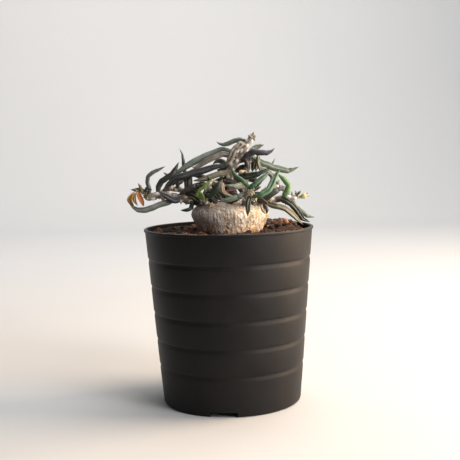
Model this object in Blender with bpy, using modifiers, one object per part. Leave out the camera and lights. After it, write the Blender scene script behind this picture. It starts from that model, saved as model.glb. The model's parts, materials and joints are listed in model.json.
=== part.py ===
"""A potted euphorbia: a turned plastic pot, its soil, a swollen caudex, knobbly stems and grooved leaves.

Lengths are in millimetres until a mesh is made, and MM turns them into metres. +Z is up, -Y is the
front, and the pot stands on Z = 0. The plant's routes are points chosen by hand, measured from the
crown, the middle of the caudex's top, so the plant follows the pot, the soil and the caudex.
"""

import math

import bmesh
import bpy
import numpy as np
from mathutils import Vector, noise

MM = 0.001
SAME = 0.01  # two lengths this near each other are the same
FAR = 100.0
CLEARANCE = 0.35  # between pieces that touch on the real plant
PIT_ROOM = 2 * CLEARANCE  # between the soil and the caudex's facets
LEAF_ROOM = 0.45  # between leaves that lean on each other

# The pot
POT_HEIGHT = 93.0
RIM_RADIUS = 45.0
FOOT_RADIUS = 37.0
POT_WALL = 1.5
LIP_HEIGHT = 1.4
LIP_REACH = 0.5
RIM_EDGE = 0.3  # bevel along the rim's edges
FLOOR_THICKNESS = 1.8
FOOT_RING_HEIGHT = 3.2
FOOT_RING_WIDTH = 3.0
FOOT_RING_SLOPE = 0.5
FOOT_ROUNDING = 1.2
GROOVE_COUNT = 5
GROOVE_PITCH = 14.1
LOWEST_GROOVE = 20.0
GROOVE_HEIGHT = 3.6
GROOVE_DEPTH = 0.4
NOTCH_COUNT = 3
NOTCH_WIDTH = 14.0
NOTCH_HEIGHT = 2.6
NOTCH_TURN = math.radians(-97.0)
DRAIN_RADIUS = 4.0
SIDE_DRAIN_COUNT = 6
SIDE_DRAIN_RADIUS = 1.9
SIDE_DRAIN_CIRCLE = 24.0
POT_SIDES = 64

# The soil
SOIL_DROP = 4.0  # from the rim down to the soil
SOIL_LUMPS = 1.4
SOIL_LUMP_SIZE = 7.0
MOUND_HEIGHT = 5.0
MOUND_SPREAD = 11.0
MOUND_PLACE = (24.0, 19.0)
SOIL_BELOW_RIM = 1.0  # the least that it stays below the rim at the wall
SOIL_SIDES = 48

# The caudex
CAUDEX_PLACE = (1.0, 0.0)
CAUDEX_RADIUS = 21.0
CAUDEX_WAIST = 12.0  # height of its widest ring above the soil
CROWN_RISE = 4.0  # from the widest ring up to the crown
CAUDEX_DEPTH = 28.0  # how far it reaches into the soil
SHOULDER_SQUARENESS = 3.5  # a higher power makes a flatter top and a sharper shoulder
SHOULDER_FALL = 1.6
TAPER_ONSET = 1.1  # a higher power leaves the waist more gently
TAPER_BULGE = 0.88  # a lower power keeps the buried taper full for longer
CLOSER_AT_WAIST = 1.15  # power that packs the outline's points towards the waist
BARK_HOLLOWS = 0.9
BARK_FISSURES = 3.2  # noise cells about the caudex, a turn being math.tau of them
BARK_FISSURE_LENGTH = 16.0
BARK_STARTS = 3.0  # height above the soil where the hollows begin
CAUDEX_SIDES = 40

SOIL_LEVEL = POT_HEIGHT - SOIL_DROP
CROWN = (*CAUDEX_PLACE, SOIL_LEVEL + CAUDEX_WAIST + CROWN_RISE)

# name: (radius at the root, radius at the end, route from the crown)
STEMS = {
    "stem_left": (2.4, 2.1, [
        (-16, -3, 0), (-22, -4, 2), (-28, -5, 4), (-34, -6, 6), (-39, -7, 6), (-42, -7, 5),
    ]),
    "stem_top": (2.2, 1.4, [
        (1, 3, 1), (0, 2, 8), (0, 0, 14), (1, -1, 18), (4, -2, 22), (9, -3, 30), (12, -3, 35),
    ]),
    "stem_front": (2.0, 1.7, [
        (8, -15, 0), (9, -19, 4), (10, -23, 7), (10, -26, 9),
    ]),
    "stem_right": (2.2, 1.7, [
        (16, -6, 1), (21, -6, 1), (25, -5, 2), (29, -4, 3), (34, -3, 3),
    ]),
    "stem_upper_right": (2.1, 1.6, [
        (8, 6, 1), (8, 6, 8), (9, 5, 15), (10, 2, 20), (11, 0, 24),
    ]),
    "stem_front_left": (1.9, 1.6, [
        (-13, -9, 1), (-13, -12, 4), (-12, -13, 8), (-10, -13, 12),
    ]),
    "stem_back": (2.1, 1.7, [
        (-3, 13, 1), (-5, 18, 4), (-6, 23, 8), (-7, 27, 10),
    ]),
    "stem_back_left": (2.1, 1.7, [
        (-13, 9, 1), (-19, 13, 4), (-26, 17, 7), (-31, 19, 8),
    ]),
    "stem_back_right": (2.1, 1.7, [
        (12, 11, 1), (17, 15, 4), (22, 18, 7), (26, 20, 8),
    ]),
}

# name: (stem it grows on, thickness, colour, route from the crown)
LEAVES = {
    "leaf_left_upright": ("stem_left", 2.2, "grey", [
        (-42, -8, 10), (-43, -8, 14), (-41, -9, 17), (-37, -9, 19), (-33, -9, 21),
    ]),
    "leaf_left_thick": ("stem_left", 3.2, "dark", [
        (-37, -7, 11), (-34, -8, 14), (-30, -9, 16), (-28, -9, 19), (-26, -9, 23),
    ]),
    "leaf_left_curl": ("stem_left", 2.0, "grey", [
        (-23, 1, 8), (-23, 2, 15), (-24, 1, 22), (-24, 0, 26), (-26, 0, 30),
    ]),
    "leaf_long_arch": ("stem_top", 3.8, "grey", [
        (-1, 3, 29), (-5, 3, 29), (-10, 2, 27), (-15, 1, 25), (-21, 0, 22), (-27, -1, 18), (-32, -2, 14),
    ]),
    "leaf_tan": ("stem_top", 3.2, "tan", [
        (-2, -3, 27), (-7, -4, 25), (-13, -4, 22), (-17, -4, 19), (-20, -5, 21),
    ]),
    "leaf_dark_arch": ("stem_left", 3.7, "purple", [
        (-31, -5, 12), (-29, -6, 14), (-25, -6, 16), (-18, -5, 18), (-10, -5, 20), (-4, -5, 21), (0, -5, 20),
    ]),
    "leaf_olive": ("stem_top", 3.3, "olive", [
        (-4, -6, 17), (-7, -7, 16), (-13, -8, 14), (-19, -8, 13),
    ]),
    "leaf_brown": ("stem_front_left", 3.7, "brown", [
        (-14, -12, 11), (-18, -11, 10), (-22, -10, 8), (-27, -9, 6),
    ]),
    "leaf_young": ("stem_front_left", 1.7, "fresh", [
        (-17, -15, 5), (-16, -16, 8), (-13, -17, 10), (-11, -17, 12), (-8, -17, 15),
    ]),
    "leaf_broad": ("stem_front_left", 4.2, "deep", [
        (-10, -16, 6), (-7, -17, 9), (-5, -17, 12), (-3, -16, 15),
    ]),
    "leaf_dark_inner": ("stem_front_left", 3.4, "dark", [
        (-18, -9, 7), (-21, -6, 9), (-22, -4, 12), (-20, -2, 15),
    ]),
    "leaf_low_long": ("stem_left", 3.2, "grey", [
        (-30, -9, 3), (-36, -10, 2), (-41, -11, 0), (-46, -11, -1), (-49, -10, 0), (-53, -9, 3),
    ]),
    "leaf_mauve": ("stem_left", 3.0, "purple", [
        (-28, -10, 3), (-32, -11, 5), (-37, -11, 8),
    ]),
    "leaf_teal": ("stem_left", 2.4, "deep", [
        (-20, -8, -1), (-23, -9, -2), (-26, -9, -2),
    ]),
    "leaf_shoot": ("stem_left", 2.5, "olive", [
        (-44, -7, 8), (-47, -7, 9), (-52, -7, 9),
    ]),
    "leaf_top_grey": ("stem_top", 2.8, "grey", [
        (8, 1, 33), (5, 2, 34), (1, 2, 32), (-3, 2, 31), (-6, 2, 33),
    ]),
    "leaf_top_tan": ("stem_top", 3.4, "tan", [
        (6, -5, 32), (3, -6, 29), (1, -7, 25), (-2, -6, 20),
    ]),
    "leaf_crest": ("stem_upper_right", 3.6, "purple", [
        (8, -4, 24), (10, -5, 27), (14, -6, 28), (17, -6, 27), (21, -6, 27), (24, -6, 29),
    ]),
    "leaf_crest_small": ("stem_upper_right", 3.0, "grey", [
        (12, 3, 28), (15, 4, 30), (19, 4, 31),
    ]),
    "leaf_long_right": ("stem_upper_right", 3.7, "sage", [
        (14, 0, 24), (16, 0, 22), (19, 0, 21), (23, 0, 19), (27, 0, 18), (32, 0, 17), (37, 0, 19),
    ]),
    "leaf_spike_right": ("stem_upper_right", 1.7, "grey", [
        (15, 6, 15), (20, 7, 17), (23, 7, 20), (25, 7, 24),
    ]),
    "leaf_bright_curl": ("stem_right", 3.0, "fresh", [
        (28, -7, 4), (30, -8, 6), (31, -8, 9), (29, -8, 12), (25, -8, 16),
    ]),
    "leaf_long_green": ("stem_front", 3.3, "green", [
        (13, -29, 5), (15, -30, 6), (19, -29, 8), (21, -27, 11), (23, -25, 15), (26, -24, 19),
    ]),
    "leaf_green_upper": ("stem_front", 2.8, "green", [
        (11, -29, 10), (13, -29, 12), (16, -28, 14), (20, -26, 17),
    ]),
    "leaf_green_back": ("stem_front", 2.5, "green", [
        (9, -29, 11), (8, -29, 12), (6, -28, 14), (3, -26, 16), (1, -24, 20),
    ]),
    "leaf_front_hanging": ("stem_front", 2.6, "deep", [
        (10, -29, 4), (9, -30, 1), (9, -29, -5),
    ]),
    "leaf_front_left": ("stem_front", 2.8, "sage", [
        (7, -26, 6), (3, -27, 5), (-1, -27, 4), (-6, -26, 3),
    ]),
    "leaf_red": ("stem_right", 1.8, "red", [
        (16, -12, 3), (18, -15, 2), (20, -18, 0),
    ]),
    "leaf_dark_right": ("stem_right", 3.9, "dark", [
        (18, -10, 3), (22, -11, 6), (28, -10, 9),
    ]),
    "leaf_over_rim": ("stem_right", 3.3, "dark", [
        (28, -9, 2), (31, -9, 1), (34, -8, -2), (36, -8, -5), (38, -8, -8), (42, -7, -10),
    ]),
    "leaf_over_rim_pale": ("stem_right", 3.2, "sage", [
        (33, 0, 1), (35, -1, -2), (39, -1, -5), (41, -1, -7), (45, -1, -8),
    ]),
    "leaf_low_right": ("stem_right", 3.1, "olive", [
        (22, -11, -1), (26, -12, -1), (30, -12, -3), (33, -12, -6), (36, -11, -9), (38, -10, -11),
    ]),
    "leaf_dry_crescent": ("stem_front_left", 1.8, "cream", [
        (-4, -15, 12), (-4, -17, 8), (-1, -18, 6), (2, -18, 5),
    ]),
    "leaf_inner": ("stem_upper_right", 3.4, "sage", [
        (5, -9, 10), (1, -13, 10), (-3, -13, 11),
    ]),
    "leaf_dark_middle": ("stem_upper_right", 3.6, "deep", [
        (7, -8, 15), (11, -10, 15), (15, -12, 16), (20, -12, 19),
    ]),
    "leaf_back_hanging": ("stem_back", 3.2, "grey", [
        (-7, 30, 10), (-8, 35, 8), (-8, 39, 3), (-7, 42, -3),
    ]),
    "leaf_back_upright": ("stem_back", 3.2, "sage", [
        (-4, 25, 13), (-3, 26, 18), (0, 27, 22), (4, 26, 25),
    ]),
    "leaf_back_side": ("stem_back", 3.1, "purple", [
        (-9, 26, 11), (-15, 28, 14), (-22, 29, 16), (-27, 27, 15),
    ]),
    "leaf_back_inner": ("stem_back", 3.0, "green", [
        (-3, 24, 10), (4, 27, 12), (11, 29, 15), (17, 28, 16),
    ]),
    "leaf_back_left_out": ("stem_back_left", 3.0, "grey", [
        (-34, 20, 8), (-37, 25, 7), (-38, 31, 3), (-37, 36, -2),
    ]),
    "leaf_back_left_up": ("stem_back_left", 3.1, "dark", [
        (-28, 17, 11), (-24, 19, 15), (-18, 20, 18), (-12, 19, 19),
    ]),
    "leaf_back_left_low": ("stem_back_left", 2.9, "sage", [
        (-24, 20, 6), (-26, 26, 5), (-28, 32, 2), (-28, 37, -2),
    ]),
    "leaf_back_right_out": ("stem_back_right", 3.1, "purple", [
        (28, 22, 7), (31, 27, 6), (33, 33, 2), (32, 38, -4),
    ]),
    "leaf_back_right_up": ("stem_back_right", 3.0, "grey", [
        (24, 19, 11), (24, 20, 14), (20, 20, 17), (15, 19, 19),
    ]),
    "leaf_back_right_low": ("stem_back_right", 3.0, "green", [
        (18, 19, 4), (18, 25, 4), (16, 32, 2), (14, 37, -2),
    ]),
    "leaf_top_back": ("stem_top", 3.1, "dark", [
        (0, 6, 19), (-2, 11, 22), (-6, 16, 23), (-9, 21, 21),
    ]),
}

BUD = (2.8, [(36, -3, 3), (38, -3, 3), (41, -3, 4)])
DRIED_BRACT = (2.6, [(-46, -8, 6), (-48, -9, 3), (-50, -9, 2), (-53, -9, 4)])

# base colour, roughness
COLOURS = {
    "pot": ((0.012, 0.012, 0.013), 0.52),
    "soil": ((0.075, 0.040, 0.022), 0.95),
    "caudex": ((0.42, 0.31, 0.20), 0.85),
    "stem": ((0.36, 0.32, 0.26), 0.80),
    "bud": ((0.42, 0.38, 0.16), 0.60),
    "bract": ((0.30, 0.14, 0.03), 0.80),
    "grey": ((0.13, 0.16, 0.13), 0.55),
    "dark": ((0.045, 0.050, 0.040), 0.50),
    "tan": ((0.27, 0.21, 0.16), 0.60),
    "purple": ((0.060, 0.048, 0.052), 0.50),
    "olive": ((0.16, 0.15, 0.07), 0.60),
    "brown": ((0.085, 0.055, 0.045), 0.60),
    "fresh": ((0.15, 0.24, 0.04), 0.45),
    "deep": ((0.030, 0.052, 0.028), 0.50),
    "sage": ((0.14, 0.19, 0.11), 0.55),
    "green": ((0.050, 0.130, 0.040), 0.45),
    "red": ((0.17, 0.05, 0.05), 0.55),
    "cream": ((0.50, 0.40, 0.27), 0.75),
}

SAMPLE_STEP = 1.0  # between the points that a route is read at
SETTLING_ROUNDS = 240
STEM_FIRMNESS = 0.5  # 1 never yields to a neighbour, 0 yields fully
LEAF_ROOT_FIRMNESS = 0.9
LEAF_YIELDS_BY = 0.3  # share of its length over which a leaf's firmness fades
STALK_FULLNESS = 0.62  # radius of a leaf's stalk, as a share of its blade's
STALK_SHARE = 0.2  # share of the length over which the stalk widens
POINT_SHARE = 0.38  # share of the length that narrows to the point
POINT_BLUNTNESS = 1.9
TIP_FULLNESS = 0.06
ROOT_SPACE = 1.5  # points of a route nearer to its root than this are left out
LEAF_SIDES = 8
LEAF_RINGS = (0.0, 0.12, 0.26, 0.43, 0.60, 0.75, 0.88, 0.965)
LEAF_GROOVE = 0.42
GROOVE_FADES = (0.2, 0.15)  # shares of the length over which it fades at the tip and at the root
GROOVE_STARTS = 0.05
NEARLY_ALONG = 0.94  # cosine between a leaf's root and Z above which its groove faces the front
STEM_KNOB_PITCH = 3.4
STEM_KNOB = 0.12


def clear_scene():
    for obj in list(bpy.data.objects):
        bpy.data.objects.remove(obj, do_unlink=True)


def new_collection(name):
    collection = bpy.data.collections.new(name)
    bpy.context.scene.collection.children.link(collection)
    return collection


def finish_of(name, key):
    """A material of the piece's own."""
    colour, roughness = COLOURS[key]
    material = bpy.data.materials.new(name)
    material.use_nodes = True
    shader = material.node_tree.nodes["Principled BSDF"]
    shader.inputs["Base Color"].default_value = (*colour, 1.0)
    shader.inputs["Roughness"].default_value = roughness
    shader.inputs["Metallic"].default_value = 0.0
    return material


def add_piece(name, data, colour, collection, origin):
    piece = bpy.data.objects.new(name, data)
    data.materials.append(finish_of(name, colour))
    collection.objects.link(piece)
    piece.parent = origin
    return piece


def add_cutter(name, mesh, collection):
    cutter = bpy.data.objects.new(name, mesh)
    cutter.display_type = "WIRE"
    cutter.hide_render = True
    collection.objects.link(cutter)
    return cutter


def turned_mesh(name, profile, sides):
    """The profile (radius, height) turned about the Z axis. It runs from top to bottom on the outside."""
    mesh = bpy.data.meshes.new(name)
    edges = [(i, i + 1) for i in range(len(profile) - 1)]
    mesh.from_pydata([(r * MM, 0.0, z * MM) for r, z in profile], edges, [])
    helper = bpy.data.objects.new(name + "_profile", mesh)
    bpy.context.scene.collection.objects.link(helper)
    screw = helper.modifiers.new("Screw", "SCREW")
    screw.steps = sides
    screw.render_steps = sides
    screw.use_merge_vertices = True
    screw.merge_threshold = 0.00001
    screw.use_smooth_shade = True
    graph = bpy.context.evaluated_depsgraph_get()
    turned = bpy.data.meshes.new_from_object(helper.evaluated_get(graph))
    bpy.data.objects.remove(helper)
    turned.name = name
    return turned


# ---------------------------------------------------------------- the pot


def wall_radius(z):
    """Outer radius of the plain wall, without grooves or lip."""
    top = RIM_RADIUS - LIP_REACH
    return FOOT_RADIUS + (top - FOOT_RADIUS) * z / POT_HEIGHT


def inner_radius(z):
    return wall_radius(z) - POT_WALL


FLOOR_TOP = FOOT_RING_HEIGHT + FLOOR_THICKNESS


def pot_profile():
    lip_under = POT_HEIGHT - LIP_HEIGHT
    points = [
        (RIM_RADIUS - RIM_EDGE, POT_HEIGHT),
        (RIM_RADIUS, POT_HEIGHT - RIM_EDGE),
        (RIM_RADIUS, lip_under),
        (wall_radius(lip_under), lip_under - LIP_REACH),
    ]
    for i in reversed(range(GROOVE_COUNT)):
        z = LOWEST_GROOVE + i * GROOVE_PITCH
        points.append((wall_radius(z + GROOVE_HEIGHT / 2), z + GROOVE_HEIGHT / 2))
        points.append((wall_radius(z) - GROOVE_DEPTH, z + GROOVE_HEIGHT / 6))
        points.append((wall_radius(z - GROOVE_HEIGHT / 2), z - GROOVE_HEIGHT / 2))
    for turn in (0, 30, 60, 90):
        angle = math.radians(turn)
        across = FOOT_ROUNDING * (1 - math.cos(angle))
        up = FOOT_ROUNDING * (1 - math.sin(angle))
        points.append((wall_radius(up) - across, up))
    ring_inside = FOOT_RADIUS - FOOT_RING_WIDTH
    points.append((ring_inside, 0.0))
    points.append((ring_inside - FOOT_RING_SLOPE, FOOT_RING_HEIGHT))
    points.append((DRAIN_RADIUS, FOOT_RING_HEIGHT))
    points.append((DRAIN_RADIUS, FLOOR_TOP))
    points.append((inner_radius(FLOOR_TOP), FLOOR_TOP))
    points.append((inner_radius(POT_HEIGHT), POT_HEIGHT - RIM_EDGE))
    points.append((inner_radius(POT_HEIGHT) + RIM_EDGE, POT_HEIGHT))
    points.append(points[0])
    return points


def notch_cutter():
    """The box that opens one notch in the foot ring, lying towards +X."""
    bm = bmesh.new()
    bmesh.ops.create_cube(bm, size=1.0)
    reach = 3 * FOOT_RING_WIDTH
    bmesh.ops.scale(bm, vec=(reach * MM, NOTCH_WIDTH * MM, 2 * NOTCH_HEIGHT * MM), verts=bm.verts)
    place = (FOOT_RADIUS - FOOT_RING_WIDTH / 2) * MM
    bmesh.ops.translate(bm, vec=(place, 0.0, 0.0), verts=bm.verts)
    mesh = bpy.data.meshes.new("notch")
    bm.to_mesh(mesh)
    bm.free()
    return mesh


def side_drain_cutter():
    """The round cutter of one drain hole, lying towards +X."""
    bm = bmesh.new()
    height = 3 * FLOOR_THICKNESS
    bmesh.ops.create_cone(
        bm,
        cap_ends=True,
        segments=16,
        radius1=SIDE_DRAIN_RADIUS * MM,
        radius2=SIDE_DRAIN_RADIUS * MM,
        depth=height * MM,
    )
    middle = FOOT_RING_HEIGHT + FLOOR_THICKNESS / 2
    bmesh.ops.translate(bm, vec=(SIDE_DRAIN_CIRCLE * MM, 0.0, middle * MM), verts=bm.verts)
    mesh = bpy.data.meshes.new("side_drain")
    bm.to_mesh(mesh)
    bm.free()
    return mesh


def cut(piece, cutter):
    boolean = piece.modifiers.new(cutter.name, "BOOLEAN")
    boolean.operation = "DIFFERENCE"
    boolean.solver = "EXACT"
    boolean.object = cutter


def make_pot(collection, cutters, origin):
    pot = add_piece("pot", turned_mesh("pot", pot_profile(), POT_SIDES), "pot", collection, origin)
    cuts = [("notch", notch_cutter(), NOTCH_COUNT, NOTCH_TURN)]
    cuts.append(("side_drain", side_drain_cutter(), SIDE_DRAIN_COUNT, 0.0))
    for name, mesh, count, start in cuts:
        for i in range(count):
            cutter = add_cutter(f"{name}_cutter_{i + 1}", mesh, cutters)
            cutter.rotation_euler.z = start + i * math.tau / count
            cutter.parent = origin
            cut(pot, cutter)
    return pot


# ---------------------------------------------------------------- the caudex and the soil


def caudex_outline(above_steps=7, below_steps=14):
    """(radius, height) from the crown to the buried tip: a flat-topped shoulder over a turnip's taper."""
    waist = SOIL_LEVEL + CAUDEX_WAIST
    points = []
    for i in range(above_steps):
        share = math.sin(i / above_steps * math.pi / 2)
        rise = (1 - share**SHOULDER_SQUARENESS) ** (1 / SHOULDER_FALL)
        points.append((CAUDEX_RADIUS * share, waist + CROWN_RISE * rise))
    for i in range(below_steps + 1):
        drop = (i / below_steps) ** CLOSER_AT_WAIST
        radius = CAUDEX_RADIUS * max(0.0, 1 - drop**TAPER_ONSET) ** TAPER_BULGE
        points.append((radius, waist - (CAUDEX_WAIST + CAUDEX_DEPTH) * drop))
    return points


def bark_depth(x, y, z):
    """How far the bark is sunk at a point of the caudex, none where it is buried."""
    share = min(1.0, max(0.0, (z - SOIL_LEVEL) / BARK_STARTS - 1))
    if share == 0.0:
        return 0.0
    angle = math.atan2(y, x)
    place = (BARK_FISSURES * math.cos(angle), BARK_FISSURES * math.sin(angle), z / BARK_FISSURE_LENGTH)
    depth = 0.5 + 0.8 * noise.noise(Vector(place))
    return share * BARK_HOLLOWS * max(0.0, min(1.0, depth))


def make_caudex(collection, origin):
    mesh = turned_mesh("caudex", caudex_outline(), CAUDEX_SIDES)
    for vertex in mesh.vertices:
        x, y, z = vertex.co / MM
        radius = math.hypot(x, y)
        shrink = 1 - bark_depth(x, y, z) / CAUDEX_RADIUS
        vertex.co.x *= shrink
        vertex.co.y *= shrink
        if radius < CAUDEX_RADIUS / 2 and z > SOIL_LEVEL:
            vertex.co.z -= bark_depth(x, y, z) / 2 * MM
    caudex = add_piece("caudex", mesh, "caudex", collection, origin)
    caudex.location = (CAUDEX_PLACE[0] * MM, CAUDEX_PLACE[1] * MM, 0.0)
    return caudex


def soil_height(x, y):
    """Height of the soil's top, about the pot's axis."""
    mound = math.exp(-((x - MOUND_PLACE[0]) ** 2 + (y - MOUND_PLACE[1]) ** 2) / (2 * MOUND_SPREAD**2))
    lump = noise.noise(Vector((x / SOIL_LUMP_SIZE, y / SOIL_LUMP_SIZE, 3.7)))
    return SOIL_LEVEL + MOUND_HEIGHT * mound + SOIL_LUMPS * lump


def caudex_radius_at(z):
    """The caudex's outer radius at a height, below its widest ring."""
    below = [(z_, r) for r, z_ in caudex_outline() if z_ <= SOIL_LEVEL + CAUDEX_WAIST]
    below.sort()
    return float(np.interp(z, [p[0] for p in below], [p[1] for p in below]))


def soil_profile():
    """(radius, height) of the soil: the caudex's pit, the top, the pot's wall and floor."""
    tip = SOIL_LEVEL - CAUDEX_DEPTH
    pit_steps = 7
    points = [(0.0, tip - PIT_ROOM)]
    for i in range(1, pit_steps + 1):
        z = tip + CAUDEX_DEPTH * i / pit_steps
        points.append((caudex_radius_at(z) + PIT_ROOM, z))
    mouth = points[-1][0]
    edge = inner_radius(SOIL_LEVEL) - CLEARANCE
    top_steps = 6
    for i in range(1, top_steps + 1):
        points.append((mouth + (edge - mouth) * i / top_steps, SOIL_LEVEL))
    floor = FLOOR_TOP + CLEARANCE
    points.append((inner_radius(floor) - CLEARANCE, floor))
    points.append((0.0, floor))
    return points


def make_soil(collection, origin):
    mesh = turned_mesh("soil", soil_profile(), SOIL_SIDES)
    mouth = caudex_radius_at(SOIL_LEVEL) + PIT_ROOM
    edge = inner_radius(SOIL_LEVEL) - CLEARANCE
    for vertex in mesh.vertices:
        x, y, z = vertex.co / MM
        radius = math.hypot(x, y)
        if z < FLOOR_TOP + PIT_ROOM:
            continue
        off_axis = min(1.0, max(0.0, (edge - radius) / (edge - mouth)))
        if abs(z - SOIL_LEVEL) < SAME:
            height = soil_height(x, y)
            # The pit and the pot's wall both widen upwards, so the edges follow them.
            wider = radius
            if radius < mouth + SAME:
                wider = caudex_radius_at(height) + PIT_ROOM
            elif radius > edge - SAME:
                height = min(height, POT_HEIGHT - SOIL_BELOW_RIM)
                wider = inner_radius(height) - CLEARANCE
            x, y, z = x * wider / radius, y * wider / radius, height
        place = (x + CAUDEX_PLACE[0] * off_axis, y + CAUDEX_PLACE[1] * off_axis, z)
        vertex.co = Vector(place) * MM
    return add_piece("soil", mesh, "soil", collection, origin)


# ---------------------------------------------------------------- routes of stems and leaves


def smooth_route(points, step=SAMPLE_STEP):
    """Points a step apart on a smooth curve through the given ones."""
    points = [np.array(p, float) for p in points]
    points = [2 * points[0] - points[1], *points, 2 * points[-1] - points[-2]]
    dense = []
    for a, b, c, d in zip(points, points[1:], points[2:], points[3:]):
        for t in np.linspace(0, 1, 12, endpoint=False):
            bowed = 2 * a - 5 * b + 4 * c - d
            swung = 3 * b - a - 3 * c + d
            dense.append(0.5 * (2 * b + (c - a) * t + bowed * t**2 + swung * t**3))
    dense = np.array([*dense, points[-2]])
    along = np.concatenate([[0], np.cumsum(np.linalg.norm(np.diff(dense, axis=0), axis=1))])
    count = max(4, round(along[-1] / step) + 1)
    at = np.linspace(0, along[-1], count)
    return np.stack([np.interp(at, along, dense[:, k]) for k in range(3)], axis=1)


def leaf_fullness(share):
    """Leaf radius at a share of its length, as a share of its greatest: a stalk, a blade and a point."""
    stalk = STALK_FULLNESS + (1 - STALK_FULLNESS) * np.clip(share / STALK_SHARE, 0, 1)
    point = 1 - np.clip(1 - (1 - share) / POINT_SHARE, 0, 1) ** POINT_BLUNTNESS
    return stalk * np.maximum(point, TIP_FULLNESS)


def rooted(route, stem, stem_radii, leaf_radius):
    """The route with its root put on the side of the stem that is nearest to its first point."""
    first = np.array(route[0], float)
    distance = np.linalg.norm(stem - first, axis=1)
    nearest = int(np.argmin(distance))
    reach = stem_radii[nearest] + CLEARANCE + STALK_FULLNESS * leaf_radius
    outward = (first - stem[nearest]) / distance[nearest]
    root = stem[nearest] + outward * reach
    rest = [p for p in route if np.linalg.norm(np.array(p) - root) > ROOT_SPACE]
    return [tuple(root), *rest]


def stem_radii(start, end, count):
    """A stem thins towards its end, with a knob where each leaf once was."""
    share = np.linspace(0, 1, count)
    knobs = 1 + STEM_KNOB * np.cos(share * (count - 1) * SAMPLE_STEP / STEM_KNOB_PITCH * math.tau)
    return (start + (end - start) * share) * knobs


class Growth:
    """Every stem and leaf as a chain of round samples, which settle until none touch."""

    def __init__(self):
        self.names = []
        self.points = []
        self.radii = []
        self.firmness = []

    def add(self, name, points, radii, firmness):
        self.names.append(name)
        self.points.append(points)
        self.radii.append(radii)
        self.firmness.append(firmness)

    def settle(self, obstacles):
        owner = np.concatenate([np.full(len(p), i) for i, p in enumerate(self.points)])
        here = np.concatenate(self.points)
        radius = np.concatenate(self.radii)
        give = 1 - np.concatenate(self.firmness)
        joined = owner[1:] == owner[:-1]
        lengths = np.linalg.norm(here[1:] - here[:-1], axis=1)
        inner = np.flatnonzero(joined[1:] & joined[:-1]) + 1
        bend = here[inner - 1] + here[inner + 1] - 2 * here[inner]
        for turn in range(SETTLING_ROUNDS):
            if turn % 20 == 0:
                a, b = np.triu_indices(len(here), 1)
                reach = radius[a] + radius[b] + 4
                near = (owner[a] != owner[b]) & (np.linalg.norm(here[a] - here[b], axis=1) < reach)
                a, b = a[near], b[near]
            self.part(here, a, b, radius[a] + radius[b] + LEAF_ROOM, give)
            self.keep_shape(here, joined, lengths, inner, bend, give)
            for push_out in obstacles:
                here += push_out(here, radius) * np.minimum(1, 2 * give)[:, None]
        starts = np.cumsum([0, *map(len, self.points)])
        settled = [here[start:end] for start, end in zip(starts, starts[1:])]
        return {name: kept for name, *kept in zip(self.names, settled, self.radii)}

    @staticmethod
    def part(here, a, b, apart, give):
        """Moves each pair that is too close away from each other, the firmer one less."""
        gap = here[a] - here[b]
        distance = np.maximum(np.linalg.norm(gap, axis=1), 1e-6)
        close = distance < apart
        a, b, gap, distance, apart = a[close], b[close], gap[close], distance[close], apart[close]
        shares = give[a] + give[b] + 1e-9
        push = gap / distance[:, None] * ((apart - distance) * 0.5 / shares)[:, None]
        moved = np.zeros_like(here)
        np.add.at(moved, a, push * give[a][:, None])
        np.add.at(moved, b, -push * give[b][:, None])
        here += np.clip(moved, -0.4, 0.4)

    @staticmethod
    def keep_shape(here, joined, lengths, inner, bend, give):
        """Holds each chain to its own length and curve."""
        for _ in range(2):
            now = here[inner - 1] + here[inner + 1] - 2 * here[inner]
            here[inner] += 0.22 * (now - bend) * give[inner][:, None]
        step = here[1:] - here[:-1]
        long = np.maximum(np.linalg.norm(step, axis=1), 1e-6)
        share = give[1:] + give[:-1] + 1e-9
        pull = np.where(joined, (long - lengths) / long / share, 0)[:, None] * step
        here[:-1] += 0.45 * pull * give[:-1][:, None]
        here[1:] -= 0.45 * pull * give[1:][:, None]


def outside_turned(profile, centre):
    """What moves samples out of a turned body, given its closed outline (radius, height)."""
    start = np.array(profile, float)
    end = np.roll(start, -1, axis=0)

    def push(points, radii):
        flat = points[:, :2] - centre
        out = np.maximum(np.linalg.norm(flat, axis=1), 1e-6)
        at = np.stack([out, points[:, 2]], axis=1)
        run = end - start
        share = np.einsum("pkc,kc->pk", at[:, None] - start[None], run) / np.maximum((run**2).sum(1), 1e-9)
        nearest = start[None] + np.clip(share, 0, 1)[..., None] * run[None]
        away = at[:, None] - nearest
        distance = np.linalg.norm(away, axis=2)
        best = distance.argmin(axis=1)
        rows = np.arange(len(points))
        away, distance = away[rows, best], distance[rows, best]
        crossing = (start[None, :, 1] > at[:, None, 1]) != (end[None, :, 1] > at[:, None, 1])
        rise = np.where(run[:, 1] == 0, 1e-9, run[:, 1])
        at_height = start[None, :, 0] + (at[:, None, 1] - start[None, :, 1]) / rise[None] * run[None, :, 0]
        inside = (crossing & (at[:, None, 0] < at_height)).sum(axis=1) % 2 == 1
        signed = np.where(inside, -distance, distance)
        short = np.maximum(0, radii + CLEARANCE - signed)
        way = away / np.maximum(distance, 1e-6)[:, None] * np.where(inside, -1, 1)[:, None]
        step = way * np.minimum(short, 1.0)[:, None]
        return np.concatenate([flat / out[:, None] * step[:, :1], step[:, 1:]], axis=1)

    return push


def above_soil(points, radii):
    """What moves samples up out of the soil."""
    inside_pot = np.hypot(points[:, 0], points[:, 1]) < inner_radius(POT_HEIGHT)
    top = np.array([soil_height(x, y) for x, y in points[:, :2]])
    short = np.where(inside_pot, np.maximum(0, top + SOIL_LUMPS + radii + CLEARANCE - points[:, 2]), 0)
    step = np.zeros_like(points)
    step[:, 2] = np.minimum(short, 1.0)
    return step


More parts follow.
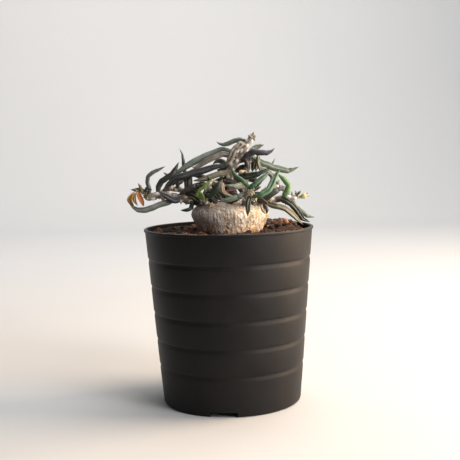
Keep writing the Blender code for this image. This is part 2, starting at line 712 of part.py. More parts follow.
def grow():
    """Routes of all stems and leaves, with their radii, in millimetres from the pot's axis and foot."""
    crown = np.array(CROWN)
    obstacles = [
        outside_turned(caudex_outline(), np.array(CAUDEX_PLACE)),
        outside_turned(pot_profile()[:-1], np.zeros(2)),
        above_soil,
    ]
    young = Growth()  # the stems settle first, so that the leaves start from where they end up
    for name, (start, end, route) in STEMS.items():
        points = smooth_route(np.array(route) + crown)
        radii = stem_radii(start, end, len(points))
        young.add(name, points, radii, np.full(len(points), STEM_FIRMNESS))
    stems = young.settle(obstacles)
    growth = Growth()
    for name, (points, radii) in stems.items():
        growth.add(name, points, radii, np.ones(len(points)))
    sprouts = {name: (stem, thick, route) for name, (stem, thick, _, route) in LEAVES.items()}
    sprouts["bud"] = ("stem_right", *BUD)
    sprouts["dried_bract"] = ("stem_left", *DRIED_BRACT)
    for name, (stem, thick, route) in sprouts.items():
        route = rooted([tuple(np.array(p) + crown) for p in route], *stems[stem], thick / 2)
        points = smooth_route(route)
        share = np.linspace(0, 1, len(points))
        firmness = LEAF_ROOT_FIRMNESS * np.clip(1 - share / LEAF_YIELDS_BY, 0, 1)
        growth.add(name, points, thick / 2 * leaf_fullness(share), firmness)
    return growth.settle(obstacles)


# ---------------------------------------------------------------- stems and leaves


def domed_end(centre, outward, radius):
    """Points and radii that close a tube with a dome, from its centre outwards."""
    turns = (0.55, 1.0, 1.4)
    places = [centre + outward * radius * math.sin(turn) for turn in turns]
    return places, [radius * math.cos(turn) for turn in turns]


def make_stem(name, points, radii, collection, origin):
    """A round tube along the route, thick at its knobs. Its domed root faces the caudex."""
    curve = bpy.data.curves.new(name, "CURVE")
    curve.dimensions = "3D"
    curve.bevel_depth = MM
    curve.bevel_resolution = 2
    curve.use_fill_caps = True
    kept = list(range(0, len(points) - 1, 2)) + [len(points) - 1]
    out_of_caudex = outside_turned(caudex_outline(), np.array(CAUDEX_PLACE))
    away = out_of_caudex(points[:1], radii[:1] + FAR)[0]
    root_places, root_widths = domed_end(points[0], -away / np.linalg.norm(away), radii[0])
    onward = (points[-1] - points[-2]) / np.linalg.norm(points[-1] - points[-2])
    tip_places, tip_widths = domed_end(points[-1], onward, radii[-1])
    route = [*root_places[::-1], *points[kept], *tip_places]
    widths = [*root_widths[::-1], *radii[kept], *tip_widths]
    spline = curve.splines.new("POLY")
    spline.points.add(len(route) - 1)
    for control, place, width in zip(spline.points, route, widths):
        control.co = (*(place * MM), 1.0)
        control.radius = width
    return add_piece(name, curve, "stem", collection, origin)


def frames_along(points):
    """Tangent and upward side at each point: the side starts facing up and turns only as the route bends."""
    tangents = np.gradient(points, axis=0)
    tangents /= np.linalg.norm(tangents, axis=1)[:, None]
    up = np.array([0.0, 0.0, 1.0])
    if abs(tangents[0] @ up) > NEARLY_ALONG:
        up = np.array([0.0, -1.0, 0.0])
    sides = []
    for tangent in tangents:
        up = up - tangent * (up @ tangent)
        up /= np.linalg.norm(up)
        sides.append(up)
    return tangents, np.array(sides)


def value_at(share, shares, table):
    """The row of the table at a share between those of its rows."""
    return np.array([np.interp(share, shares, column) for column in table.T])


def make_leaf(name, points, thickness, colour, collection, origin, groove=LEAF_GROOVE):
    """A loft from a round stalk through a grooved blade to a point."""
    tangents, sides = frames_along(points)
    at = np.linspace(0, 1, len(points))
    bm = bmesh.new()
    heel = thickness / 2 * float(leaf_fullness(0.0))
    start = bm.verts.new((points[0] - tangents[0] * heel) * MM)
    rings = []
    for share in LEAF_RINGS:
        centre, tangent, up = (value_at(share, at, table) for table in (points, tangents, sides))
        across = np.cross(tangent, up)
        across /= np.linalg.norm(across)
        radius = thickness / 2 * float(leaf_fullness(share))
        at_root = min(1.0, max(0.0, (share - GROOVE_STARTS) / GROOVE_FADES[1]))
        at_tip = min(1.0, (1 - share) / GROOVE_FADES[0])
        dip = groove * at_root * at_tip
        ring = []
        for k in range(LEAF_SIDES):
            angle = k * math.tau / LEAF_SIDES
            reach = radius * (1 - dip if k == 0 else 1)
            place = centre + reach * (math.cos(angle) * up + math.sin(angle) * across)
            ring.append(bm.verts.new(place * MM))
        rings.append(ring)
    end = bm.verts.new(points[-1] * MM)
    for k in range(LEAF_SIDES):
        n = (k + 1) % LEAF_SIDES
        bm.faces.new((start, rings[0][k], rings[0][n]))
        for lower, upper in zip(rings, rings[1:]):
            bm.faces.new((lower[n], lower[k], upper[k], upper[n]))
        bm.faces.new((end, rings[-1][n], rings[-1][k]))
    bmesh.ops.recalc_face_normals(bm, faces=bm.faces)
    mesh = bpy.data.meshes.new(name)
    bm.to_mesh(mesh)
    bm.free()
    mesh.shade_smooth()
    return add_piece(name, mesh, colour, collection, origin)


def middle_of(routes):
    """Middle of the finished object, seen from above, so that its own origin lies there."""
    reach = np.concatenate([np.concatenate([p - r[:, None], p + r[:, None]]) for p, r in routes.values()])
    rim = np.array([[-RIM_RADIUS, -RIM_RADIUS], [RIM_RADIUS, RIM_RADIUS]])
    reach = np.concatenate([reach[:, :2], rim])
    return (reach.min(axis=0) + reach.max(axis=0)) / 2


def main():
    clear_scene()
    plant = new_collection("potted_euphorbia")
    cutters = new_collection("cutters")
    origin = bpy.data.objects.new("pot_axis", None)
    plant.objects.link(origin)
    make_pot(plant, cutters, origin)
    make_soil(plant, origin)
    make_caudex(plant, origin)
    routes = grow()
    for name in STEMS:
        make_stem(name, *routes[name], plant, origin)
    for name, (_, thickness, colour, _) in LEAVES.items():
        make_leaf(name, routes[name][0], thickness, colour, plant, origin)
    make_leaf("bud", routes["bud"][0], BUD[0], "bud", plant, origin, groove=0.0)
    make_leaf("dried_bract", routes["dried_bract"][0], DRIED_BRACT[0], "bract", plant, origin)
    middle = middle_of(routes)
    origin.location = (-middle[0] * MM, -middle[1] * MM, 0.0)
    bpy.context.view_layer.update()


main()
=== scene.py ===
# %% [markdown]
# # A potted euphorbia in its black nursery pot
# The plant is a small succulent euphorbia from Madagascar. A swollen stem base, the caudex, stands
# half out of the soil. Short knobbly stems grow from its crown and carry narrow leaves that are
# rolled into gutters. The design model gives every piece its place and size, and this lesson gives
# each piece its surface: bark, knobs, gutters, crumbs of soil and satin plastic.

# %% Load the frame
import heapq
import json
import math
import random

import bmesh
import bpy
import numpy as np
from mathutils import Matrix, Vector, noise
from mathutils.bvhtree import BVHTree


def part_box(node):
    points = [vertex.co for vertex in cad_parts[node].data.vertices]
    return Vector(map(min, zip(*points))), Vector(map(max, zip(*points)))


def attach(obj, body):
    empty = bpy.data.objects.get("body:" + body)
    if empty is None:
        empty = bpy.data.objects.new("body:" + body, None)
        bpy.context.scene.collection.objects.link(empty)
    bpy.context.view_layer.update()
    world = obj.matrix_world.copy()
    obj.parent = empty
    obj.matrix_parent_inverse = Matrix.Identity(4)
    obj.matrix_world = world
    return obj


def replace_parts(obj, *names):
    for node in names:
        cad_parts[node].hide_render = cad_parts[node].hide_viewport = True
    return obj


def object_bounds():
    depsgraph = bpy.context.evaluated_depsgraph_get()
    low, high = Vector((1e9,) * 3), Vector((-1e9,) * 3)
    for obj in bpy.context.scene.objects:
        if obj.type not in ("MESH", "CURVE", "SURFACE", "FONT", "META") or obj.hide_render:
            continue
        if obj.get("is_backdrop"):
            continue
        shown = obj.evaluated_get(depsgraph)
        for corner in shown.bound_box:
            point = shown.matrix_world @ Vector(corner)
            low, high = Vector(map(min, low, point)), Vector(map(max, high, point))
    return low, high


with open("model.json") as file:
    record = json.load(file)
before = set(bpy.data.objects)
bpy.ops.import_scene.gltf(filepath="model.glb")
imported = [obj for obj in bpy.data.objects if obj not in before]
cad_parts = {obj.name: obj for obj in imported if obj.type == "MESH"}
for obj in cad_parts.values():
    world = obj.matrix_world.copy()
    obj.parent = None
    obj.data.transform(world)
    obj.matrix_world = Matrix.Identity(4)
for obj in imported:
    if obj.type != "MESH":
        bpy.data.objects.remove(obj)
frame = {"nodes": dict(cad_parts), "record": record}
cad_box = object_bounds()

MM = 0.001
SLOT_OF = {part["node"]: part["material_slot"] for part in frame["record"]["subparts"]}
print(len(frame["nodes"]), "pieces in the frame, from", *(f"{c / MM:.0f}" for c in cad_box[0]), "mm")

# %% [markdown]
# ## Where things are
# The pot is round, so the middle of its box is its axis. The plant's own measures are easiest to
# take from the crown, the middle of the caudex's top. Both come from the frame's boxes, so every
# piece below follows the design if the design changes.

# %% The pot's axis and the crown
def middle_of(node):
    low, high = (Vector(corner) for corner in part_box(node))
    return (low + high) / 2


def top_of(node):
    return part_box(node)[1][2]


POT_AXIS = Vector((middle_of("pot").x, middle_of("pot").y, 0.0))
CROWN = Vector((middle_of("caudex").x, middle_of("caudex").y, top_of("caudex")))


def from_crown(x, y, z):
    """A place given in millimetres from the crown."""
    return CROWN + Vector((x, y, z)) * MM


print(f"pot axis at {POT_AXIS.x / MM:.2f} mm, crown {CROWN.z / MM:.1f} mm up")

# %% [markdown]
# ## The camera
# A small pot is best seen from about half a metre with a short telephoto lens, a little above the
# rim and tipped slightly down, so that the rim shows as a narrow ellipse. The camera is placed from
# the pot's axis. Its small roll is what a hand-held camera has.

# %% Make the camera
CAMERA_PLACE = Vector((0.75, -449.6, 132.7)) * MM
CAMERA_TIP = math.radians(5.28)
CAMERA_ROLL = math.radians(-1.35)
CAMERA_LENS = 66.2

camera = bpy.data.objects.new("camera", bpy.data.cameras.new("camera"))
bpy.context.scene.collection.objects.link(camera)
camera.data.sensor_width = 36.0
camera.data.lens = CAMERA_LENS
camera.data.clip_start = 0.01
level = Matrix.Rotation(math.pi / 2 - CAMERA_TIP, 4, "X")
roll = Matrix.Rotation(CAMERA_ROLL, 4, "Z")
camera.matrix_world = Matrix.Translation(POT_AXIS + CAMERA_PLACE) @ level @ roll
bpy.context.scene.camera = camera
print("camera", round(CAMERA_PLACE.length, 3), "m from the foot of the pot")

# %% [markdown]
# ## The light
# A matt black pot shows its shape only by what it reflects, so the lights are large soft panels.
# A warm one stands on the right, which gives the broad sheen along that flank, with a cooler one
# in front of it. A weak one at the back on the left draws the thin bright edge there. A panel above
# lights the leaves and keeps their undersides dark, one high in front opens up the shade between
# them, and the last one washes the backdrop. The world around is dim for the light that falls on
# the plant and plain pale for the camera.

# %% Make the lights and the world
def add_panel(name, place, power, size, colour, aim=(0.0, 0.0, 0.09)):
    """A square light at a place in metres from the pot's axis, turned towards the plant."""
    light = bpy.data.lights.new(name, "AREA")
    light.shape = "RECTANGLE"
    light.size, light.size_y = size
    light.energy = power
    light.color = colour
    panel = bpy.data.objects.new(name, light)
    bpy.context.scene.collection.objects.link(panel)
    panel.location = POT_AXIS + Vector(place)
    towards = Vector(aim) - Vector(place)
    panel.rotation_euler = towards.to_track_quat("-Z", "Y").to_euler()
    panel.visible_camera = False
    return panel


WARM = (1.0, 0.765, 0.54)
COOL = (0.93, 0.965, 1.0)
NEUTRAL = (1.0, 0.985, 0.965)
add_panel("panel_right", (0.66, 0.06, 0.28), 12.5, (0.50, 0.60), WARM)
add_panel("panel_right_front", (0.52, -0.42, 0.24), 3.4, (0.26, 0.50), COOL)
add_panel("panel_left", (-0.55, 0.50, 0.26), 0.4, (0.30, 0.60), COOL)
add_panel("panel_above", (0.22, 0.12, 0.85), 5.0, (0.60, 0.60), NEUTRAL)
add_panel("panel_front", (0.60, -0.75, 0.80), 5.0, (0.45, 0.45), NEUTRAL)
add_panel("panel_backdrop", (-0.1, 0.65, 1.0), 15.5, (1.8, 0.3), COOL, aim=(0.0, 1.45, 0.25))

PALE = (0.775, 0.765, 0.765)
AMBIENT = (0.055, 0.06, 0.07)

world = bpy.data.worlds.new("studio")
bpy.context.scene.world = world
world.use_nodes = True
sky = world.node_tree
sky.nodes.clear()
seen = sky.nodes.new("ShaderNodeBackground")
seen.inputs["Color"].default_value = (*PALE, 1.0)
felt = sky.nodes.new("ShaderNodeBackground")
felt.inputs["Color"].default_value = (*AMBIENT, 1.0)
rays = sky.nodes.new("ShaderNodeLightPath")
chosen = sky.nodes.new("ShaderNodeMixShader")
world_out = sky.nodes.new("ShaderNodeOutputWorld")
sky.links.new(rays.outputs["Is Camera Ray"], chosen.inputs["Fac"])
sky.links.new(felt.outputs["Background"], chosen.inputs[1])
sky.links.new(seen.outputs["Background"], chosen.inputs[2])
sky.links.new(chosen.outputs["Shader"], world_out.inputs["Surface"])
bpy.context.scene.view_settings.view_transform = "Standard"
print("six panels and a plain pale world")

# %% [markdown]
# ## Reading the frame's solids
# The design's leaves and stems are plain tubes. To put a finely modelled leaf exactly where its
# tube is, its middle line has to be read back from the mesh. One way is to slice the tube with
# planes, but a curled leaf crosses a plane twice. Instead, imagine one end of the tube held at 0
# and the other at 1, like heat flowing along a rod: every corner of the mesh then settles at the
# average of its neighbours. Corners with the same value lie on a ring round the tube, and the
# middle of each ring is a point of the middle line.

# %% Corners and edges of a solid
def corners_of(node):
    """The solid's corners, its edges as index pairs and its triangles, with doubled corners joined."""
    mesh = frame["nodes"][node].data
    places = np.array([vertex.co for vertex in mesh.vertices])
    _, first, index = np.unique(np.round(places / 1e-6), axis=0, return_index=True, return_inverse=True)
    index = index.reshape(-1)
    mesh.calc_loop_triangles()
    faces = np.array([[index[k] for k in triangle.vertices] for triangle in mesh.loop_triangles])
    edges = np.sort(np.concatenate([faces[:, [0, 1]], faces[:, [1, 2]], faces[:, [2, 0]]]), axis=1)
    return places[first], np.unique(edges, axis=0), faces


def farthest_corner(places, edges, start):
    """The corner with the longest walk along the edges from the start."""
    beside = [[] for _ in places]
    for a, b in edges:
        length = float(np.linalg.norm(places[a] - places[b]))
        beside[a].append((b, length))
        beside[b].append((a, length))
    walked = {start: 0.0}
    queue = [(0.0, start)]
    while queue:
        so_far, here = heapq.heappop(queue)
        if so_far > walked[here]:
            continue
        for there, length in beside[here]:
            if so_far + length < walked.get(there, math.inf):
                walked[there] = so_far + length
                heapq.heappush(queue, (so_far + length, there))
    return max(walked, key=walked.get)


# %% The middle line of a tube
def middle_line(node, slices=15):
    """Points on the middle line of a tube-like solid and its radius at each, from one end to the other."""
    places, edges = corners_of(node)[:2]
    one_end = farthest_corner(places, edges, 0)
    other_end = farthest_corner(places, edges, one_end)
    balance = np.zeros((len(places), len(places)))
    for a, b in edges:
        balance[a, b] = balance[b, a] = -1.0
    np.fill_diagonal(balance, -balance.sum(axis=1))
    held = np.zeros(len(places))
    for corner, value in ((one_end, 0.0), (other_end, 1.0)):
        balance[corner] = 0.0
        balance[corner, corner] = 1.0
        held[corner] = value
    warmth = np.linalg.solve(balance, held)
    low, high = np.sort(warmth[edges], axis=1).T
    order = np.argsort(warmth[edges], axis=1)
    start = places[np.take_along_axis(edges, order, axis=1)[:, 0]]
    end = places[np.take_along_axis(edges, order, axis=1)[:, 1]]
    points, radii = [places[one_end]], [0.0]
    for level_here in np.quantile(warmth, np.linspace(0.03, 0.97, slices)):
        crossed = (low < level_here) & (high >= level_here)
        share = ((level_here - low[crossed]) / (high[crossed] - low[crossed]))[:, None]
        ring = start[crossed] + share * (end[crossed] - start[crossed])
        points.append(ring.mean(axis=0))
        radii.append(float(np.linalg.norm(ring - points[-1], axis=1).mean()))
    points.append(places[other_end])
    radii.append(0.0)
    return np.array(points), np.array(radii)


def smooth_line(points, count, extra=None):
    """Evenly spaced points on a smooth curve through the given ones, and any extra values carried along."""
    points = np.asarray(points, float)
    held = np.concatenate([[2 * points[0] - points[1]], points, [2 * points[-1] - points[-2]]])
    dense, at_point = [], []
    for i in range(len(points) - 1):
        a, b, c, d = held[i : i + 4]
        for t in np.linspace(0, 1, 10, endpoint=False):
            bowed, swung = 2 * a - 5 * b + 4 * c - d, 3 * b - a - 3 * c + d
            dense.append(0.5 * (2 * b + (c - a) * t + bowed * t**2 + swung * t**3))
            at_point.append(i + t)
    dense.append(points[-1])
    at_point.append(len(points) - 1)
    dense = np.array(dense)
    for _ in range(6):
        dense[1:-1] = 0.25 * dense[:-2] + 0.5 * dense[1:-1] + 0.25 * dense[2:]
    along = np.concatenate([[0], np.cumsum(np.linalg.norm(np.diff(dense, axis=0), axis=1))])
    even = np.linspace(0, along[-1], count)
    line = np.stack([np.interp(even, along, column) for column in dense.T], axis=1)
    if extra is None:
        return line
    return line, np.interp(np.interp(even, along, at_point), range(len(points)), extra)


def length_of(line):
    return float(np.linalg.norm(np.diff(line, axis=0), axis=1).sum())


# %% Surfaces to rest things on
def surface_of(*nodes):
    """One searchable surface of several solids."""
    places, faces = [], []
    for node in nodes:
        corners, _, triangles = corners_of(node)
        faces.extend((triangles + sum(map(len, places))).tolist())
        places.append(corners)
    return BVHTree.FromPolygons(np.concatenate(places).tolist(), faces)


def shown_surface(pieces):
    """One searchable surface of pieces that are already made."""
    places, faces = [], []
    for piece in pieces:
        start = len(places)
        places += [vertex.co.copy() for vertex in piece.data.vertices]
        faces += [tuple(corner + start for corner in face.vertices) for face in piece.data.polygons]
    return BVHTree.FromPolygons(places, faces)


STEM_NODES = sorted(node for node in frame["nodes"] if node.startswith("stem_"))
LEAF_NODES = sorted(node for node in frame["nodes"] if node.startswith("leaf_"))
pot_surface = surface_of("pot")
soil_surface = surface_of("soil")
caudex_surface = surface_of("caudex")
print(len(STEM_NODES), "stems and", len(LEAF_NODES), "leaves to finish")

# %% [markdown]
# ## Making a mesh from rows of points
# Most pieces here are rings or rows of points joined into a skin: a leaf, a stem, the pot's wall.
# One function joins the rows and closes the ends, so each piece only has to say where its points
# lie. Values such as the share of the way along a leaf are kept on the mesh as attributes, and the
# materials read them later. That ties a colour to the form and not to the room around it.

# %% Rows into a skin
def joined_rows(rows, closed=True):
    """Faces between rows of equally many points, as quads. A closed row is a ring."""
    count = len(rows[0])
    faces = []
    for r in range(len(rows) - 1):
        for k in range(count if closed else count - 1):
            n = (k + 1) % count
            faces.append((r * count + k, r * count + n, (r + 1) * count + n, (r + 1) * count + k))
    return faces


def tube(rows):
    """The points of rings, and the faces that join the rings and close both ends."""
    sides = len(rows[0])
    last = len(rows) * sides
    faces = joined_rows(rows) + [tuple(range(sides)), tuple(range(last - sides, last))]
    return [point for row in rows for point in row], faces


def add_piece(name, places, faces, finish, slot, values=None):
    """An object of the given points and faces in its finish, which rides with the pot."""
    mesh = bpy.data.meshes.new(name)
    mesh.from_pydata([tuple(place) for place in places], [], faces)
    for label, numbers in (values or {}).items():
        kept = mesh.attributes.new(label, "FLOAT", "POINT")
        kept.data.foreach_set("value", np.asarray(numbers, np.float32))
    mesh.materials.append(finish)
    mesh.shade_smooth()
    piece = bpy.data.objects.new(name, mesh)
    bpy.context.scene.collection.objects.link(piece)
    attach(piece, "root")
    return piece


def face_outwards(piece):
    """Turns every face of a closed mesh to the outside."""
    bm = bmesh.new()
    bm.from_mesh(piece.data)
    bmesh.ops.recalc_face_normals(bm, faces=bm.faces)
    bm.to_mesh(piece.data)
    bm.free()
    return piece


class Gathered:
    """Many small closed forms collected into one piece."""

    def __init__(self):
        self.places, self.faces, self.tones, self.count = [], [], [], 0

    def add(self, places, faces, tone):
        self.faces.extend(tuple(int(i) + self.count for i in face) for face in faces)
        self.places.append(np.asarray(places, float))
        self.tones.append(np.full(len(places), tone))
        self.count += len(places)

    def piece(self, name, finish, slot):
        values = {"tone": np.concatenate(self.tones)}
        return add_piece(name, np.concatenate(self.places), self.faces, finish, slot, values)


def frames_along(line):
    """Tangent and upper side at each point of a line. The upper side turns only as the line bends."""
    tangents = np.gradient(line, axis=0)
    tangents /= np.linalg.norm(tangents, axis=1)[:, None]
    up = np.array([0.0, 0.0, 1.0])
    if abs(tangents[0] @ up) > 0.94:
        up = np.array([0.0, -1.0, 0.0])
    sides = []
    for tangent in tangents:
        up = up - tangent * (up @ tangent)
        up = up / np.linalg.norm(up)
        sides.append(up)
    return tangents, np.array(sides)


def round_from(up, side, turn):
    """The way out of a line at a turn round it, counted from its upper side."""
    return math.cos(turn) * up + math.sin(turn) * side


# %% [markdown]
# ## Finishes
# A living surface is never one colour. Each finish starts from a Principled shader and varies its
# colour, roughness and height with procedural textures. Effects that several finishes share are
# node groups: mottling, long streaks, fine skin and settled dust. Each group only puts out a mask or
# a height, and the finish decides what to do with it.

# %% Small helpers for node trees
def tint(red, green, blue):
    """A linear colour from the 0 to 255 values that a colour picker shows."""
    shares = [value / 255 for value in (red, green, blue)]
    return tuple(s / 12.92 if s <= 0.04045 else ((s + 0.055) / 1.055) ** 2.4 for s in shares)


def feed(tree, socket, value):
    """Sets a socket to a number or colour, or links another socket to it."""
    if isinstance(value, bpy.types.NodeSocket):
        tree.links.new(value, socket)
    elif isinstance(value, tuple) and len(value) == 3 and socket.type == "RGBA":
        socket.default_value = (*value, 1.0)
    else:
        socket.default_value = value


def place(tree, kind, settings=None, **inputs):
    """A node with its settings and its inputs. An input's name has _ for a space."""
    made = tree.nodes.new(kind)
    for label, value in (settings or {}).items():
        setattr(made, label, value)
    for label, value in inputs.items():
        feed(tree, made.inputs[label.replace("_", " ")], value)
    return made


def reckon(tree, operation, first, second=0.5, clamp=False):
    """The result of one sum."""
    made = tree.nodes.new("ShaderNodeMath")
    made.operation = operation
    made.use_clamp = clamp
    feed(tree, made.inputs[0], first)
    feed(tree, made.inputs[1], second)
    return made.outputs[0]


def between(tree, mask, low, high):
    """The number that goes from low to high as the mask goes from 0 to 1."""
    made = tree.nodes.new("ShaderNodeMapRange")
    feed(tree, made.inputs["Value"], mask)
    made.inputs["To Min"].default_value = low
    made.inputs["To Max"].default_value = high
    return made.outputs["Result"]


def rising(tree, value, start, slope):
    """A mask that is 0 up to the start and then climbs to 1."""
    return reckon(tree, "MULTIPLY", reckon(tree, "SUBTRACT", value, start), slope, clamp=True)


def falling(tree, value, end, slope):
    """A mask that drops to 0 at the end and stays there."""
    return reckon(tree, "MULTIPLY", reckon(tree, "SUBTRACT", end, value), slope, clamp=True)


def blended(tree, mask, first, second, share=None):
    """The first colour where the mask is 0 and the second, or a share of it, where the mask is 1."""
    if share is not None:
        mask = reckon(tree, "MULTIPLY", mask, share)
    made = tree.nodes.new("ShaderNodeMix")
    made.data_type = "RGBA"
    feed(tree, made.inputs[0], mask)
    feed(tree, made.inputs[6], first)
    feed(tree, made.inputs[7], second)
    return made.outputs[2]


def kept_value(tree, label):
    """A value that the mesh keeps at each point."""
    return place(tree, "ShaderNodeAttribute", {"attribute_name": label}).outputs["Fac"]


# %% [markdown]
# ### Shared effects
# Mottling is soft noise with a set contrast, used for patches of colour. Streaks are the same
# noise, stretched up and down, as in bark and along plastic that was drawn from its mould. Fine
# skin mixes small cells with noise for the height. Dust settles on what faces up.

# %% Build the effect groups
def new_group(name, inputs, outputs):
    """An empty node group with named number sockets."""
    group = bpy.data.node_groups.new(name, "ShaderNodeTree")
    for label, value in inputs.items():
        socket = group.interface.new_socket(label, in_out="INPUT", socket_type="NodeSocketFloat")
        socket.default_value = value
    for label in outputs:
        group.interface.new_socket(label, in_out="OUTPUT", socket_type="NodeSocketFloat")
    return group, group.nodes.new("NodeGroupInput").outputs, group.nodes.new("NodeGroupOutput").inputs


def contrasted(tree, value, contrast):
    """Noise about one half, spread by the contrast and kept from 0 to 1."""
    spread = reckon(tree, "MULTIPLY", reckon(tree, "SUBTRACT", value, 0.5), contrast)
    return reckon(tree, "ADD", spread, 0.5, clamp=True)


def mottling_group():
    group, given, out = new_group("mottling", {"Scale": 100.0, "Contrast": 3.0}, ["Mask"])
    coordinates = place(group, "ShaderNodeTexCoord").outputs["Object"]
    cloud = place(group, "ShaderNodeTexNoise", Vector=coordinates, Scale=given["Scale"], Detail=4.0)
    group.links.new(contrasted(group, cloud.outputs["Fac"], given["Contrast"]), out["Mask"])
    return group


def streaks_group():
    group, given, out = new_group("streaks", {"Scale": 300.0, "Length": 8.0, "Contrast": 3.0}, ["Mask"])
    coordinates = place(group, "ShaderNodeTexCoord").outputs["Object"]
    axes = place(group, "ShaderNodeSeparateXYZ", Vector=coordinates)
    joined = place(group, "ShaderNodeCombineXYZ", X=axes.outputs["X"], Y=axes.outputs["Y"])
    feed(group, joined.inputs["Z"], reckon(group, "DIVIDE", axes.outputs["Z"], given["Length"]))
    cloud = place(group, "ShaderNodeTexNoise", Vector=joined.outputs[0], Scale=given["Scale"], Detail=5.0)
    group.links.new(contrasted(group, cloud.outputs["Fac"], given["Contrast"]), out["Mask"])
    return group


def fine_skin_group():
    group, given, out = new_group("fine_skin", {"Scale": 2500.0, "Roughening": 0.5}, ["Height"])
    coordinates = place(group, "ShaderNodeTexCoord").outputs["Object"]
    cells = place(group, "ShaderNodeTexVoronoi", Vector=coordinates, Scale=given["Scale"])
    cloud = place(group, "ShaderNodeTexNoise", Vector=coordinates, Scale=given["Scale"], Detail=3.0)
    rough = reckon(group, "MULTIPLY", cloud.outputs["Fac"], given["Roughening"])
    group.links.new(reckon(group, "ADD", cells.outputs["Distance"], rough), out["Height"])
    return group


def dust_group():
    group, given, out = new_group("settled_dust", {"Amount": 0.5, "Scale": 400.0}, ["Mask"])
    normal = place(group, "ShaderNodeNewGeometry").outputs["Normal"]
    rise = place(group, "ShaderNodeSeparateXYZ", Vector=normal).outputs["Z"]
    faces_up = reckon(group, "POWER", reckon(group, "MAXIMUM", rise, 0.0), 1.5)
    coordinates = place(group, "ShaderNodeTexCoord").outputs["Object"]
    cloud = place(group, "ShaderNodeTexNoise", Vector=coordinates, Scale=given["Scale"], Detail=6.0)
    patchy = contrasted(group, cloud.outputs["Fac"], 4.0)
    settled = reckon(group, "MULTIPLY", faces_up, patchy)
    group.links.new(reckon(group, "MULTIPLY", settled, given["Amount"], clamp=True), out["Mask"])
    return group


EFFECTS = {
    "mottling": mottling_group(),
    "streaks": streaks_group(),
    "fine_skin": fine_skin_group(),
    "dust": dust_group(),
}
print("effect groups:", ", ".join(EFFECTS))


# %% Start and end of a finish
def effect(tree, name, **inputs):
    """One of the shared effects in a finish, with that finish's own values."""
    made = tree.nodes.new("ShaderNodeGroup")
    made.node_tree = EFFECTS[name]
    for label, value in inputs.items():
        made.inputs[label].default_value = value
    return made.outputs[0]


def new_finish(name):
    """A material with one Principled shader."""
    finish = bpy.data.materials.new(name)
    finish.use_nodes = True
    tree = finish.node_tree
    return finish, tree, tree.nodes["Principled BSDF"]


def raise_surface(tree, shader, height, strength, depth):
    """Feeds a height through a Bump node into the shader's normal. Depth is in millimetres."""
    bump = place(tree, "ShaderNodeBump", Height=height)
    bump.inputs["Strength"].default_value = strength
    bump.inputs["Distance"].default_value = depth * MM
    tree.links.new(bump.outputs["Normal"], shader.inputs["Normal"])


# %% [markdown]
# ## The pot
# The pot is injection moulded in black polypropylene: a thin tapered wall with five shallow steps
# round it, a small rolled lip, and a foot ring with three notches that let water out. A turned
# piece like this is one outline spun about its axis with a Screw modifier. The outline takes its
# radii from the design's pot, measured by shooting a ray at the wall, and adds the soft roundings
# that a mould gives. The notches and drain holes are cut with a Boolean.

# %% Measure the design's pot
POT_HEIGHT = top_of("pot")
RIM_RADIUS = (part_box("pot")[1][0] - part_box("pot")[0][0]) / 2


def radius_at(surface, height, outwards=False):
    """The radius of a turned solid at a height, met from outside, or from its axis outwards."""
    start = POT_AXIS + Vector((0.0 if outwards else 1.0, 0.0, height))
    hit = surface.ray_cast(start, Vector((1.0 if outwards else -1.0, 0.0, 0.0)))[0]
    return hit.x - POT_AXIS.x


LOW, HIGH = 8 * MM, 86 * MM  # heights clear of the steps
wall_low, wall_high = radius_at(pot_surface, LOW), radius_at(pot_surface, HIGH)
WALL = wall_high - radius_at(pot_surface, HIGH, outwards=True)
FLOOR_TOP = pot_surface.ray_cast(POT_AXIS + Vector((0.02, 0.01, 0.05)), Vector((0, 0, -1)))[0].z
FLOOR_UNDER = pot_surface.ray_cast(POT_AXIS + Vector((0.02, 0.01, -0.01)), Vector((0, 0, 1)))[0].z


def wall_radius(height):
    return wall_low + (wall_high - wall_low) * (height - LOW) / (HIGH - LOW)


print(f"wall {WALL / MM:.2f} mm, foot {wall_radius(0) / MM:.1f}, rim {RIM_RADIUS / MM:.1f} mm in radius")

# %% Draw the pot's outline
STEP_COUNT = 5
STEP_PITCH = 14.1 * MM
LOWEST_STEP = 20.0 * MM
STEP_HEIGHT = 3.8 * MM
STEP_DEPTH = 0.42 * MM
STEP_SHOULDER = 0.27  # share of the step's height where it is deepest, from its top
LIP_HEIGHT = 1.4 * MM
LIP_ROUNDING = 0.45 * MM
FOOT_ROUNDING = 1.6 * MM
FOOT_RING_WIDTH = 3.0 * MM


def arc(centre, radius, start, end, steps=6):
    """Points (radius, height) on an arc between two angles in degrees."""
    turns = np.radians(np.linspace(start, end, steps))
    return [(centre[0] + radius * math.cos(turn), centre[1] + radius * math.sin(turn)) for turn in turns]


def step_depth(share):
    """How deep a step is, from 0 at its top to 1 at its bottom: a quick dip, then a slow return."""
    if share < STEP_SHOULDER:
        return STEP_DEPTH * (0.5 - 0.5 * math.cos(math.pi * share / STEP_SHOULDER))
    return STEP_DEPTH * (0.5 + 0.5 * math.cos(math.pi * (share - STEP_SHOULDER) / (1 - STEP_SHOULDER)))


